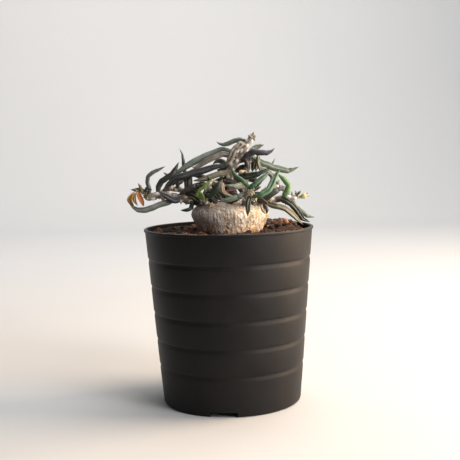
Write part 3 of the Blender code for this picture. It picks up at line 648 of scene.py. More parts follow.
def pot_outline():
    """The pot from its rim down the outside, under the foot, and up the inside."""
    rounding = LIP_ROUNDING
    points = arc((RIM_RADIUS - rounding, POT_HEIGHT - rounding), rounding, 90, 0)
    points += arc((RIM_RADIUS - rounding, POT_HEIGHT - LIP_HEIGHT + rounding), rounding, 0, -90)
    points.append((wall_radius(POT_HEIGHT - LIP_HEIGHT), POT_HEIGHT - LIP_HEIGHT - 0.05 * MM))
    for i in reversed(range(STEP_COUNT)):
        top = LOWEST_STEP + i * STEP_PITCH + STEP_HEIGHT / 2
        for share in np.linspace(0, 1, 15):
            height = top - STEP_HEIGHT * share
            points.append((wall_radius(height) - step_depth(share), height))
    foot = wall_radius(0.0)
    points += arc((foot - FOOT_ROUNDING, FOOT_ROUNDING), FOOT_ROUNDING, 0, -90, 8)
    ring_inside = foot - FOOT_RING_WIDTH
    points += arc((ring_inside + 0.3 * MM, 0.3 * MM), 0.3 * MM, -90, -180, 4)
    points += [(ring_inside - 0.4 * MM, FLOOR_UNDER), (0.0, FLOOR_UNDER)]
    inner = wall_radius(FLOOR_TOP) - WALL
    points += [(0.0, FLOOR_TOP)]
    points += arc((inner - 1 * MM, FLOOR_TOP + 1 * MM), 1 * MM, -90, 0)
    inside_top = wall_radius(POT_HEIGHT) - WALL
    points += arc((inside_top + rounding, POT_HEIGHT - rounding), rounding, 180, 90)
    points.append(points[0])
    return points


print(len(pot_outline()), "points in the pot's outline")

# %% Spin and cut the pot
POT_STEPS = 192
NOTCH_COUNT = 3
NOTCH_WIDTH = 14.0 * MM
NOTCH_HEIGHT = 2.6 * MM
NOTCH_TURN = math.radians(-97.0)
DRAIN_RADIUS = 4.0 * MM
SIDE_DRAIN_COUNT = 6
SIDE_DRAIN_RADIUS = 1.9 * MM
SIDE_DRAIN_CIRCLE = 24.0 * MM


def spun(name, points, steps):
    """A mesh of an outline (radius, height) turned about Z by a Screw modifier."""
    mesh = bpy.data.meshes.new(name)
    mesh.from_pydata([(r, 0.0, z) for r, z in points], [(i, i + 1) for i in range(len(points) - 1)], [])
    helper = bpy.data.objects.new(name, mesh)
    bpy.context.scene.collection.objects.link(helper)
    screw = helper.modifiers.new("spin", "SCREW")
    screw.steps = screw.render_steps = steps
    screw.use_merge_vertices = True
    screw.merge_threshold = 1e-6
    graph = bpy.context.evaluated_depsgraph_get()
    turned = bpy.data.meshes.new_from_object(helper.evaluated_get(graph))
    bpy.data.objects.remove(helper)
    bm = bmesh.new()
    bm.from_mesh(turned)
    bmesh.ops.remove_doubles(bm, verts=bm.verts, dist=1e-7)
    bmesh.ops.recalc_face_normals(bm, faces=bm.faces)
    bm.to_mesh(turned)
    bm.free()
    return turned


def pot_cutter():
    """Everything that is cut from the pot: foot notches, the drain hole and six smaller ones."""
    bm = bmesh.new()
    foot_middle = wall_radius(0.0) - FOOT_RING_WIDTH / 2
    for i in range(NOTCH_COUNT):
        turn = Matrix.Rotation(NOTCH_TURN + i * math.tau / NOTCH_COUNT, 4, "Z")
        size = Matrix.Diagonal((3 * FOOT_RING_WIDTH, NOTCH_WIDTH, 2 * NOTCH_HEIGHT, 1))
        bmesh.ops.create_cube(bm, size=1.0, matrix=turn @ Matrix.Translation((foot_middle, 0, 0)) @ size)
    holes = [(DRAIN_RADIUS, Vector((0, 0, 0)))]
    for i in range(SIDE_DRAIN_COUNT):
        turn = i * math.tau / SIDE_DRAIN_COUNT
        holes.append((SIDE_DRAIN_RADIUS, Vector((math.cos(turn), math.sin(turn), 0)) * SIDE_DRAIN_CIRCLE))
    for radius, spot in holes:
        middle = Matrix.Translation(spot + Vector((0, 0, (FLOOR_TOP + FLOOR_UNDER) / 2)))
        depth = 3 * (FLOOR_TOP - FLOOR_UNDER)
        bmesh.ops.create_cone(
            bm, cap_ends=True, segments=32, radius1=radius, radius2=radius, depth=depth, matrix=middle
        )
    mesh = bpy.data.meshes.new("pot_cutter")
    bm.to_mesh(mesh)
    bm.free()
    return mesh


# %% [markdown]
# ### Satin black plastic
# Nursery pots have a fine satin skin, a little duller where hands and soil have rubbed them. The
# base is nearly black, with patches a shade lighter, faint up-and-down marks from leaving the
# mould, a trace of dry dust on what faces up, and a paler rubbed rim. The inside is painted darker,
# as the shade under the rim, and is rougher, because wet soil has scratched it.

# %% The plastic finish
RIM_WEAR = 0.5 * MM  # the rubbed band below the top of the rim
INSIDE_SHADE_AND_SCRATCH_FADE = 0.3 * MM


def plastic_finish():
    finish, tree, shader = new_finish("black_plastic")
    patches = effect(tree, "mottling", Scale=60.0, Contrast=2.2)
    drawn = effect(tree, "streaks", Scale=900.0, Length=30.0, Contrast=2.0)
    colour = blended(tree, patches, tint(13, 12, 13), tint(24, 22, 22))
    colour = blended(tree, effect(tree, "dust", Amount=0.35, Scale=700.0), colour, tint(104, 92, 78))
    coordinates = place(tree, "ShaderNodeTexCoord").outputs["Object"]
    spot = place(tree, "ShaderNodeSeparateXYZ", Vector=coordinates).outputs
    across = reckon(tree, "POWER", reckon(tree, "SUBTRACT", spot["X"], POT_AXIS.x), 2.0)
    radius = reckon(tree, "SQRT", reckon(tree, "ADD", across, reckon(tree, "POWER", spot["Y"], 2.0)))
    flare = (wall_radius(POT_HEIGHT) - wall_radius(0.0)) / POT_HEIGHT
    in_wall = reckon(tree, "ADD", reckon(tree, "MULTIPLY", spot["Z"], flare), wall_radius(0.0) - WALL * 0.6)
    inside = reckon(tree, "DIVIDE", reckon(tree, "SUBTRACT", in_wall, radius), INSIDE_SHADE_AND_SCRATCH_FADE, clamp=True)
    # painted shade: the inside wall is painted near black, as in the shade under the rim
    colour = blended(tree, inside, colour, tint(6, 5, 5))
    over_band = reckon(tree, "SUBTRACT", spot["Z"], POT_HEIGHT - RIM_WEAR)
    at_rim = reckon(tree, "DIVIDE", over_band, RIM_WEAR, clamp=True)
    rubbed = reckon(tree, "MULTIPLY", at_rim, effect(tree, "mottling", Scale=260.0, Contrast=3.0))
    colour = blended(tree, rubbed, colour, tint(92, 88, 86), share=0.6)
    feed(tree, shader.inputs["Base Color"], colour)
    shader.inputs["Specular IOR Level"].default_value = 0.2
    smoothness = reckon(tree, "ADD", patches, reckon(tree, "MULTIPLY", drawn, 0.6))
    satin = between(tree, smoothness, 0.44, 0.52)
    scratched = reckon(tree, "MULTIPLY", inside, 0.42)
    feed(tree, shader.inputs["Roughness"], reckon(tree, "ADD", satin, scratched, clamp=True))
    grain = effect(tree, "fine_skin", Scale=1900.0, Roughening=1.0)
    raise_surface(tree, shader, grain, 0.16, 0.08)
    return finish


black_plastic = plastic_finish()


# %% Make the pot
def make_pot():
    body = bpy.data.objects.new("pot_body", spun("pot_body", pot_outline(), POT_STEPS))
    cutter = bpy.data.objects.new("pot_cutter", pot_cutter())
    for helper in (body, cutter):
        bpy.context.scene.collection.objects.link(helper)
    cut = body.modifiers.new("cut", "BOOLEAN")
    cut.operation = "DIFFERENCE"
    cut.solver = "EXACT"
    cut.object = cutter
    graph = bpy.context.evaluated_depsgraph_get()
    finished = bpy.data.meshes.new_from_object(body.evaluated_get(graph))
    for helper in (body, cutter):
        bpy.data.objects.remove(helper)
    finished.transform(Matrix.Translation(POT_AXIS))
    finished.shade_smooth()
    finished.set_sharp_from_angle(angle=math.radians(50))
    finished.materials.clear()
    finished.materials.append(black_plastic)
    pot = bpy.data.objects.new("pot_shell", finished)
    bpy.context.scene.collection.objects.link(pot)
    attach(pot, "root")
    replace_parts(pot, "pot")
    return pot


pot_shell = make_pot()
print("pot:", len(pot_shell.data.polygons), "faces")

# %% [markdown]
# ## The caudex
# The caudex is a turnip of water-storing wood under corky bark. As it swells, the bark splits into
# upright fissures with pale ridges between them, and shreds of old bark stay on it. It could be
# sculpted by hand; here rays are shot out from its middle to the design's solid, on a fine grid,
# and each hit is pushed in or out by noise that is drawn out upwards, which is how fissures run.

# %% Bark on a fine grid
CAUDEX_AROUND = 300
CAUDEX_UP = 190
FISSURE_DEPTH = 0.50 * MM
FISSURE_CELLS = 11.0  # noise cells across the caudex's radius
FISSURE_STRETCH = 9.0
WRINKLE_DEPTH = 0.20 * MM
SHOULDER_EASING = 90
CROWN_RISE = 2.3 * MM  # how far the crown domes above the design's flat top
RELIEF_MIDDLE = 0.62  # relief that leaves the bark where it is
BARK_SEED = 3
CAUDEX_HEART = Vector((CROWN.x, CROWN.y, CROWN.z - 9 * MM))
CAUDEX_RADIUS = (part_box("caudex")[1][0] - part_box("caudex")[0][0]) / 2
SOIL_LEVEL = soil_surface.ray_cast(CROWN + Vector((-0.03, -0.01, 0.02)), Vector((0, 0, -1)))[0].z


def fissures(spot):
    """Bark relief at a spot of the caudex: 0 in the depth of a fissure, up to 1 on a ridge."""
    flat = Vector((spot.x, spot.y, spot.z / FISSURE_STRETCH)) / CAUDEX_RADIUS * FISSURE_CELLS
    bent = flat + noise.noise_vector(flat * 0.35) * 0.8
    wide = min(1.0, abs(noise.noise(bent)) * 3.2)
    fine = min(1.0, abs(noise.noise(bent * 2.3 + Vector((7.1, 3.3, 1.7)))) * 3.0)
    return 0.62 * wide + 0.38 * fine


def wrinkles(spot):
    """Small cross wrinkles and pits."""
    cell = spot / MM
    across = noise.noise(Vector((cell.x * 0.55, cell.y * 0.55, cell.z * 0.9)))
    return across + 0.6 * noise.noise(cell * 1.7)


def eased(reach, rounds):
    """The reach of the rays, averaged with the rows above and below, which rounds the shoulder."""
    for _ in range(rounds):
        reach[1:-1] = 0.25 * reach[:-2] + 0.5 * reach[1:-1] + 0.25 * reach[2:]
    return reach


def make_caudex(finish):
    noise.seed_set(BARK_SEED)  # vector noise has random offsets until it is seeded
    ways = []
    for tilt in math.pi * (0.5 - np.arange(CAUDEX_UP + 1) / CAUDEX_UP):
        turns = np.arange(CAUDEX_AROUND) * math.tau / CAUDEX_AROUND
        flat, rise = math.cos(tilt), math.sin(tilt)
        ways.append([Vector((math.cos(turn) * flat, math.sin(turn) * flat, rise)) for turn in turns])
    reach = np.array([[caudex_surface.ray_cast(CAUDEX_HEART, way)[3] for way in row] for row in ways])
    reach = eased(reach, SHOULDER_EASING)
    places, ridge, height = [], [], []
    for row, distances in zip(ways, reach):
        for way, distance in zip(row, distances):
            skin = CAUDEX_HEART + way * distance
            relief = fissures(skin - CROWN)
            flat_top = max(0.0, way.z - 0.35)
            depth = FISSURE_DEPTH * (relief - RELIEF_MIDDLE) * (1 - 0.6 * flat_top)
            depth += WRINKLE_DEPTH * wrinkles(skin - CROWN) + CROWN_RISE * max(0.0, way.z) ** 0.7
            places.append(skin + way * depth)
            ridge.append(relief)
            height.append((skin.z - SOIL_LEVEL) / (CROWN.z - SOIL_LEVEL))
    faces = joined_rows([range(CAUDEX_AROUND)] * (CAUDEX_UP + 1))
    caudex = add_piece("caudex_bark", places, faces, finish, "caudex", {"ridge": ridge, "height": height})
    bm = bmesh.new()
    bm.from_mesh(caudex.data)
    bmesh.ops.remove_doubles(bm, verts=bm.verts, dist=0.02 * MM)
    bmesh.ops.recalc_face_normals(bm, faces=bm.faces)
    bm.to_mesh(caudex.data)
    bm.free()
    caudex.data.shade_smooth()
    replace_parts(caudex, "caudex")
    return caudex


# %% [markdown]
# ### Corky bark
# The ridges are pale and silvery and the fissures brown. The right side of the caudex is painted
# lighter and warmer, as lit by the warm light there, and the left side greyer, as in shade; the
# silver of the ridges takes the same painted warm and cool cast. Rusty streaks climb from the soil.
# The colour follows the relief that the mesh keeps, so each pale line sits on a real ridge.

# %% The bark finish
def bark_finish():
    finish, tree, shader = new_finish("corky_bark")
    ridge = kept_value(tree, "ridge")
    height = kept_value(tree, "height")
    coordinates = place(tree, "ShaderNodeTexCoord").outputs["Object"]
    sideways = place(tree, "ShaderNodeSeparateXYZ", Vector=coordinates).outputs["X"]
    # painted light: the right side is painted lighter and warmer and the left side greyer, as the warm light
    # from the right falls on the caudex
    painted_light_side = between(tree, reckon(tree, "ADD", reckon(tree, "MULTIPLY", sideways, 34.0), 0.32), 0.0, 1.0)
    patches = effect(tree, "mottling", Scale=120.0, Contrast=3.4)
    drawn = effect(tree, "streaks", Scale=520.0, Length=9.0, Contrast=4.5)
    fine = effect(tree, "streaks", Scale=1500.0, Length=10.0, Contrast=3.5)
    painted_shade_side = blended(tree, patches, tint(202, 176, 154), tint(224, 208, 194))
    painted_lit_side = blended(tree, patches, tint(224, 186, 128), tint(248, 228, 190))
    skin = blended(tree, painted_light_side, painted_shade_side, painted_lit_side)
    skin = blended(tree, drawn, skin, tint(186, 140, 98), share=0.7)
    silver = blended(tree, painted_light_side, tint(226, 230, 240), tint(255, 250, 232))
    on_ridge = reckon(tree, "MULTIPLY", between(tree, ridge, -0.3, 1.1), fine, clamp=True)
    skin = blended(tree, on_ridge, skin, silver)
    skin = blended(tree, falling(tree, ridge, 0.30, 2.6), skin, tint(116, 80, 54))
    climbing = effect(tree, "streaks", Scale=340.0, Length=5.0, Contrast=5.0)
    rusty = reckon(tree, "MULTIPLY", falling(tree, height, 0.50, 2.2), climbing)
    skin = blended(tree, rusty, skin, tint(206, 142, 78))
    # greyer and darker towards the top of the caudex, near the crown
    greyer_near_crown = blended(tree, patches, tint(92, 80, 68), tint(150, 144, 140))
    skin = blended(tree, rising(tree, height, 0.80, 3.2), skin, greyer_near_crown)
    feed(tree, shader.inputs["Base Color"], skin)
    feed(tree, shader.inputs["Roughness"], between(tree, fine, 0.72, 0.92))
    grain = reckon(tree, "ADD", effect(tree, "fine_skin", Scale=1400.0, Roughening=1.4), fine)
    raise_surface(tree, shader, grain, 0.55, 0.25)
    return finish


corky_bark = bark_finish()
caudex_bark = make_caudex(corky_bark)
print("caudex:", len(caudex_bark.data.polygons), "faces, soil at", round(SOIL_LEVEL / MM, 1), "mm")

# %% [markdown]
# ### Shreds of old bark
# Bark that has split hangs on as thin upright shreds. Each is a narrow strip laid on the caudex: its
# points come from rays shot at the surface, and its lower end lifts a little. They are real strips
# and not painted ones, because they catch light along their edges and cast fine shadows.

# %% Lay the shreds
SHRED_COUNT = 190
SHRED_WIDTH = 0.42 * MM
SHRED_THICKNESS = 0.14 * MM


def add_shred(gathered, draw):
    turn = draw.uniform(0, math.tau)
    length = draw.uniform(2.5, 7.5) * MM
    top = CROWN.z - draw.uniform(2.5, 14.0) * MM
    width = SHRED_WIDTH * draw.uniform(0.5, 1.3)
    lift = draw.uniform(0.1, 0.45) * MM
    rows = []
    for share in np.linspace(0, 1, 8):
        height = top - length * share
        if height < SOIL_LEVEL:
            return
        bend = turn + 0.05 * math.sin(5 * share + 9 * turn)
        out = Vector((math.cos(bend), math.sin(bend), 0))
        across = Vector((-out.y, out.x, 0))
        start = Vector((CAUDEX_HEART.x, CAUDEX_HEART.y, height)) + out * 0.05
        hit = shown_bark.ray_cast(start, -out)[0]
        if hit is None:
            return
        half = width / 2 * math.sin(math.pi * min(1, 0.12 + share * 0.86)) ** 0.5
        spot = hit + out * (SHRED_THICKNESS * 0.2 + lift * share**2)
        left, right = spot - across * half, spot + across * half
        back = out * SHRED_THICKNESS
        rows.append([left, right, right - back, left - back])
    gathered.add(*tube(rows), draw.random())


def shred_finish():
    finish, tree, shader = new_finish("bark_shreds")
    tone = kept_value(tree, "tone")
    fine = effect(tree, "streaks", Scale=1500.0, Length=10.0, Contrast=3.0)
    colour = blended(tree, tone, tint(206, 186, 156), tint(236, 232, 226))
    colour = blended(tree, fine, colour, tint(150, 118, 88), share=0.6)
    feed(tree, shader.inputs["Base Color"], colour)
    feed(tree, shader.inputs["Roughness"], between(tree, fine, 0.75, 0.92))
    raise_surface(tree, shader, effect(tree, "fine_skin", Scale=2200.0, Roughening=1.0), 0.4, 0.12)
    return finish


shown_bark = shown_surface([caudex_bark])
shreds = Gathered()
shred_draw = random.Random(41)
for _ in range(SHRED_COUNT):
    add_shred(shreds, shred_draw)
face_outwards(shreds.piece("bark_shreds", shred_finish(), "caudex"))
print(len(shreds.places), "shreds of bark")

# %% [markdown]
# ## The soil
# A succulent's mix is mostly crumbs of a few millimetres: baked clay, pumice, bark and dark humus,
# with dust between them. A bed alone, however bumpy, still looks like one skin. So the bed is only
# the ground, and hundreds of separate crumbs lie on it. Each is a small rounded block with its own
# corners worn by noise, dropped where a ray finds the bed. On the left, everything is painted darker,
# as the shade that the caudex and the rim cast there.

# %% The bed
BED_RINGS = 46
BED_AROUND = 200
BED_LUMP = 0.45 * MM
BED_INNER = 9 * MM  # the bed starts at this radius, under the caudex
BED_EASE = 0.6 * MM  # how far its top edge stays off the wall
WALL_GAP = 0.15 * MM


def bed_height(x, y):
    """The top of the design's soil below a place. Under the caudex it is the soil level."""
    hit = soil_surface.ray_cast(Vector((x, y, POT_HEIGHT + 0.02)), Vector((0, 0, -1)))[0]
    if hit is None or hit.z < SOIL_LEVEL - 8 * MM:
        return SOIL_LEVEL - 1 * MM
    return hit.z


def bed_radius(height):
    return wall_radius(height) - WALL - WALL_GAP


def make_bed(finish):
    rows = []
    outer = bed_radius(SOIL_LEVEL) - BED_EASE
    for ring in range(BED_RINGS + 1):
        radius = BED_INNER + (outer - BED_INNER) * (ring / BED_RINGS)
        row = []
        for around in range(BED_AROUND):
            turn = around * math.tau / BED_AROUND
            x, y = POT_AXIS.x + radius * math.cos(turn), POT_AXIS.y + radius * math.sin(turn)
            lump = noise.noise(Vector((x, y, 0)) / (1.6 * MM))
            lump += 0.5 * noise.noise(Vector((x, y, 1)) / (0.7 * MM))
            row.append(Vector((x, y, bed_height(x, y) + BED_LUMP * lump)))
        rows.append(row)
    side = [Vector((p.x, p.y, 0)) for p in rows[-1]]
    for height in (SOIL_LEVEL - 6 * MM, (SOIL_LEVEL + FLOOR_TOP) / 2, FLOOR_TOP + WALL_GAP):
        scale = bed_radius(height) / outer
        rows.append([POT_AXIS + (p - POT_AXIS) * scale + Vector((0, 0, height)) for p in side])
    bed = face_outwards(add_piece("soil_bed", *tube(rows), finish, "soil"))
    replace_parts(bed, "soil")
    return bed


PAINTED_SHADE_EDGE = 12 * MM  # the painted shade on the soil starts this far to the left of the pot's axis
PAINTED_SHADE_FADE = 12 * MM


def earth_finish(name, dark, light, scale, dusty=0.16):
    """Earth, clay or pumice: two tones, gritty, with dust on top. Crumbs differ by the tone they keep."""
    finish, tree, shader = new_finish(name)
    tone = kept_value(tree, "tone")
    patches = reckon(tree, "MULTIPLY", effect(tree, "mottling", Scale=scale, Contrast=3.0), 0.3)
    mixed = reckon(tree, "ADD", reckon(tree, "MULTIPLY", tone, 0.7), patches, clamp=True)
    colour = blended(tree, mixed, dark, light)
    colour = blended(tree, effect(tree, "dust", Amount=dusty, Scale=900.0), colour, tint(150, 116, 84))
    # painted shade: every earth is painted darker towards the left of the pot, as in the shade of the caudex
    # and the rim
    spot = place(tree, "ShaderNodeTexCoord").outputs["Object"]
    sideways = place(tree, "ShaderNodeSeparateXYZ", Vector=spot).outputs["X"]
    from_edge = reckon(tree, "SUBTRACT", POT_AXIS.x - PAINTED_SHADE_EDGE, sideways)
    painted_shade_left = reckon(tree, "DIVIDE", from_edge, PAINTED_SHADE_FADE, clamp=True)
    colour = blended(tree, painted_shade_left, colour, tint(9, 6, 5), share=0.66)
    feed(tree, shader.inputs["Base Color"], colour)
    feed(tree, shader.inputs["Roughness"], between(tree, mixed, 0.84, 0.97))
    raise_surface(tree, shader, effect(tree, "fine_skin", Scale=1700.0, Roughening=1.6), 0.7, 0.25)
    return finish


humus = earth_finish("humus_bed", tint(16, 10, 7), tint(42, 26, 17), 500.0, 0.1)
soil_bed = make_bed(humus)
print("soil bed:", len(soil_bed.data.polygons), "faces")

# %% Crumbs of several kinds
CRUMB_SHAPES = 7
CRUMB_TILT = 0.5  # radians
CRUMB_SUNK = 0.25  # share of a crumb that is in the bed


def crumb_shapes(corners, seed):
    """A few worn blocks of about unit size, as (points, faces)."""
    shapes = []
    for k in range(CRUMB_SHAPES):
        bm = bmesh.new()
        bmesh.ops.create_icosphere(bm, subdivisions=2, radius=1.0)
        for vertex in bm.verts:
            way = vertex.co.normalized()
            chip = noise.noise(way * corners + Vector((seed, k * 3.7, 0.0)))
            grit = noise.noise(way * 3.1 * corners + Vector((k, seed, 5.0)))
            vertex.co = way * (1 + 0.42 * chip + 0.12 * grit)
        points = np.array([vertex.co for vertex in bm.verts])
        shapes.append((points, [tuple(v.index for v in face.verts) for face in bm.faces]))
        bm.free()
    return shapes


neck_start = Vector((CROWN.x + 0.1, CROWN.y, SOIL_LEVEL + 0.5 * MM))
neck_hit = caudex_surface.ray_cast(neck_start, Vector((-1, 0, 0)))[0]
NECK_RADIUS = min(neck_hit.x - CROWN.x, CAUDEX_RADIUS)  # the caudex where it leaves the soil


def scatter(gathered, shapes, draw, count, smallest, largest, flatness, region):
    """Drops crumbs on the bed, inside the wall and clear of the caudex."""
    placed = 0
    while placed < count:
        x, y = (draw.uniform(-1, 1) * bed_radius(SOIL_LEVEL) for _ in range(2))
        size = draw.uniform(smallest, largest) * MM / 2
        from_caudex = math.hypot(x + POT_AXIS.x - CROWN.x, y + POT_AXIS.y - CROWN.y)
        if math.hypot(x, y) > bed_radius(SOIL_LEVEL) - size * 1.1 or from_caudex < NECK_RADIUS + size * 0.6:
            continue
        if not region(x / MM, y / MM, draw):
            continue
        points, faces = shapes[draw.randrange(len(shapes))]
        spin = Matrix.Rotation(draw.uniform(0, math.tau), 3, "Z")
        for axis in "XY":
            spin = spin @ Matrix.Rotation(draw.uniform(-CRUMB_TILT, CRUMB_TILT), 3, axis)
        spin = spin @ Matrix.Diagonal((1, draw.uniform(0.7, 1), flatness))
        base = bed_height(x + POT_AXIS.x, y + POT_AXIS.y) + size * flatness * (1 - 2 * CRUMB_SUNK)
        base += draw.uniform(0, 0.5) * MM
        spot = np.array([x + POT_AXIS.x, y + POT_AXIS.y, min(base, POT_HEIGHT + 0.5 * MM)])
        gathered.add(points @ np.array(spin).T * size + spot, faces, draw.random())
        placed += 1


def anywhere(x, y, draw):
    return True


def by_the_front(x, y, draw):
    """Most often in front of the caudex, on its left."""
    return draw.random() < 0.25 + 0.75 * math.exp(-((x + 20) ** 2 + (y + 18) ** 2) / 350)


def on_the_right(x, y, draw):
    return draw.random() < 0.3 + 0.7 * math.exp(-((x - 32) ** 2 + (y - 8) ** 2) / 260)


KINDS = {
    # name: (count, smallest, largest, flatness, region, corners, dark, light)
    "humus_crumbs": (470, 1.6, 5.0, 0.75, anywhere, 1.7, tint(15, 9, 7), tint(66, 38, 23)),
    "bark_chips": (170, 2.6, 6.2, 0.5, on_the_right, 1.3, tint(28, 14, 9), tint(98, 56, 32)),
    "clay_grains": (84, 2.2, 4.6, 0.85, by_the_front, 1.2, tint(104, 60, 32), tint(178, 120, 72)),
    "pumice_grains": (26, 1.8, 3.4, 0.85, on_the_right, 1.3, tint(164, 132, 98), tint(212, 190, 152)),
}


def make_crumbs():
    for seed, (name, kind) in enumerate(KINDS.items()):
        count, smallest, largest, flatness, region, corners, dark, light = kind
        crumbs = Gathered()
        shapes, draw = crumb_shapes(corners, seed + 1), random.Random(100 + seed)
        scatter(crumbs, shapes, draw, count, smallest, largest, flatness, region)
        crumbs.piece(name, earth_finish(name, dark, light, 900.0), "soil")
        print(name, count)


make_crumbs()

# %% [markdown]
# ## The stems
# Each stem is grey and covered in knobs, set in a spiral. Every knob once held a leaf: on it is a
# pale round scar, and beside the scar stands a pair of soft spines, the stipules. The spiral is the
# plant's own rule. Each knob is a golden angle, about 137.5 degrees, further round than the last, so
# no two sit in line. A tube is swept along the design's middle line, and its radius swells near
# each knob. This is surer than sculpting, and it puts the scars and spines exactly on the knobs.

# %% Knobbly stems
GOLDEN_ANGLE = math.radians(137.5)
KNOB_PITCH = 1.15 * MM
KNOB_SIZE = 1.45 * MM
KNOB_HEIGHT = 0.30  # share of the stem's radius
STEM_SIDES = 36
STEM_ROW = 0.24 * MM
STEM_DOME = 1.3 * MM  # length of the rounding at the tip
SCAR_SIZE = 0.55 * MM
CAUDEX_MIDDLE = np.array(CAUDEX_HEART)
STOUTER = {"stem_top": 1.35, "stem_front": 1.15, "stem_left": 1.15}  # knobs reach over the design's tube


def rooted_first(points, radii, root):
    """The line turned so that it starts at the end nearer the root."""
    if np.linalg.norm(points[0] - root) > np.linalg.norm(points[-1] - root):
        return points[::-1], radii[::-1]
    return points, radii


def stem_line(node):
    """The stem's smooth middle line and radii, from inside the caudex to its tip."""
    points, radii = rooted_first(*middle_line(node), CAUDEX_MIDDLE)
    hit, normal = shown_bark.find_nearest(Vector(points[0]))[:2]
    start = np.array(hit) - np.array(normal) * 1.2 * MM
    points = np.concatenate([[start], points[2:]])
    radii = np.concatenate([[radii[3]], radii[2:]])
    radii[-1] = radii[-2]
    count = int(length_of(points) / STEM_ROW)
    return smooth_line(points, count, radii)


class Stem:
    """A knobbly stem: its skin, its scars and where its knobs point."""

    def __init__(self, node):
        self.node = node
        self.line, self.radii = stem_line(node)
        self.radii = self.radii * STOUTER.get(node, 1.0)
        self.along = np.concatenate([[0], np.cumsum(np.linalg.norm(np.diff(self.line, axis=0), axis=1))])
        self.tangents, self.ups = frames_along(self.line)
        count = int(self.along[-1] / KNOB_PITCH)
        self.knobs = [((k + 0.5) * KNOB_PITCH, (k * GOLDEN_ANGLE) % math.tau) for k in range(count)]

    def at(self, along):
        """Centre, tangent, upper side, other side and radius at a length along the stem."""
        centre, tangent, up = (
            np.array([np.interp(along, self.along, column) for column in table.T])
            for table in (self.line, self.tangents, self.ups)
        )
        return centre, tangent, up, np.cross(tangent, up), float(np.interp(along, self.along, self.radii))

    def reach(self, along, turn, radius):
        """Height of the skin as a share of the radius, and how much of a scar is there."""
        swell, scar = 0.0, 0.0
        for spot, facing in self.knobs:
            if abs(spot - along) > 2.5 * KNOB_SIZE:
                continue
            beside = ((turn - facing + math.pi) % math.tau - math.pi) * radius
            distance = math.hypot(along - spot, beside) / KNOB_SIZE
            swell = max(swell, math.exp(-(distance**2) * 2.2))
            higher = math.hypot(along - spot - 0.25 * KNOB_SIZE, beside) / SCAR_SIZE
            scar = max(scar, math.exp(-(higher**4)))
        rough = noise.noise(Vector((math.cos(turn) * 2, math.sin(turn) * 2, along / (1.1 * MM))))
        return 0.80 + KNOB_HEIGHT * swell - 0.035 * scar + 0.05 * rough, scar, swell

    def skin(self):
        """Points, faces and kept values of the stem's surface."""
        rows, scars, swells = [], [], []
        for along in self.along:
            centre, _, up, side, radius = self.at(along)
            ending = min(1.0, (self.along[-1] - along) / STEM_DOME)
            radius *= math.sqrt(max(0.0, 1 - (1 - ending) ** 2)) + 0.02
            row = []
            for k in range(STEM_SIDES):
                turn = k * math.tau / STEM_SIDES
                reach, scar, swell = self.reach(along, turn, radius)
                row.append(centre + radius * reach * round_from(up, side, turn))
                scars.append(scar)
                swells.append(swell)
            rows.append(row)
        return *tube(rows), {"scar": scars, "swell": swells}


def stem_finish():
    finish, tree, shader = new_finish("knobbly_stem")
    scar, swell = kept_value(tree, "scar"), kept_value(tree, "swell")
    patches = effect(tree, "mottling", Scale=420.0, Contrast=3.2)
    skin = blended(tree, patches, tint(172, 164, 152), tint(210, 206, 200))
    skin = blended(tree, falling(tree, swell, 0.34, 2.6), skin, tint(112, 96, 80))
    specks = effect(tree, "mottling", Scale=900.0, Contrast=3.0)
    knob = blended(tree, specks, tint(206, 202, 198), tint(240, 240, 246))
    skin = blended(tree, rising(tree, swell, 0.40, 2.4), skin, knob)
    skin = blended(tree, scar, skin, tint(246, 238, 220), share=0.55)
    feed(tree, shader.inputs["Base Color"], skin)
    feed(tree, shader.inputs["Roughness"], between(tree, patches, 0.62, 0.86))
    raise_surface(tree, shader, effect(tree, "fine_skin", Scale=1800.0, Roughening=1.2), 0.5, 0.16)
    return finish


knobbly = stem_finish()
stems = {node: Stem(node) for node in STEM_NODES}
stem_skins = []
for node, stem in stems.items():
    places, faces, values = stem.skin()
    stem_skins.append(face_outwards(add_piece(node + "_skin", places, faces, knobbly, "stem", values)))
    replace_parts(stem_skins[-1], node)
print("stems:", ", ".join(f"{node[5:]} {len(stem.knobs)}" for node, stem in stems.items()), "knobs")

# %% [markdown]
# ### Stipules
# The soft spines beside each scar are under a millimetre long. They are tapered tubes of five
# sides, two to a knob, spread like the arms of a V. At this size they read as a pale fringe on the
# stem, which a bump map could never give at its edge.

# %% Spines on the knobs
def add_spike(gathered, line, radius, sides, tone, blunt=0.0):
    """A thin tube along a line that narrows to a point."""
    tangents, ups = frames_along(np.asarray(line))
    rows = []
    for i, (centre, tangent, up) in enumerate(zip(line, tangents, ups)):
        share = i / (len(line) - 1)
        side = np.cross(tangent, up)
        here = radius * max(blunt, (1 - share**1.5))
        turns = (k * math.tau / sides for k in range(sides))
        rows.append([centre + here * round_from(up, side, turn) for turn in turns])
    gathered.add(*tube(rows), tone)


def add_stipules(gathered, stem, draw):
    for along, turn in stem.knobs:
        centre, tangent, up, side, radius = stem.at(along)
        out = round_from(up, side, turn)
        across = np.cross(out, tangent)
        foot = centre + out * radius * 1.02
        for hand in (-1, 1):
            length = draw.uniform(0.45, 1.0) * MM
            root = foot + hand * across * 0.42 * MM
            way = out * 0.8 + hand * across * draw.uniform(0.5, 0.9) + tangent * draw.uniform(-0.1, 0.5)
            bend = tangent * draw.uniform(-0.2, 0.4)
            line = [root + length * (way * t + bend * t * t) for t in (-0.2, 0.25, 0.6, 1.0)]
            add_spike(gathered, line, 0.11 * MM, 5, draw.random(), 0.1)


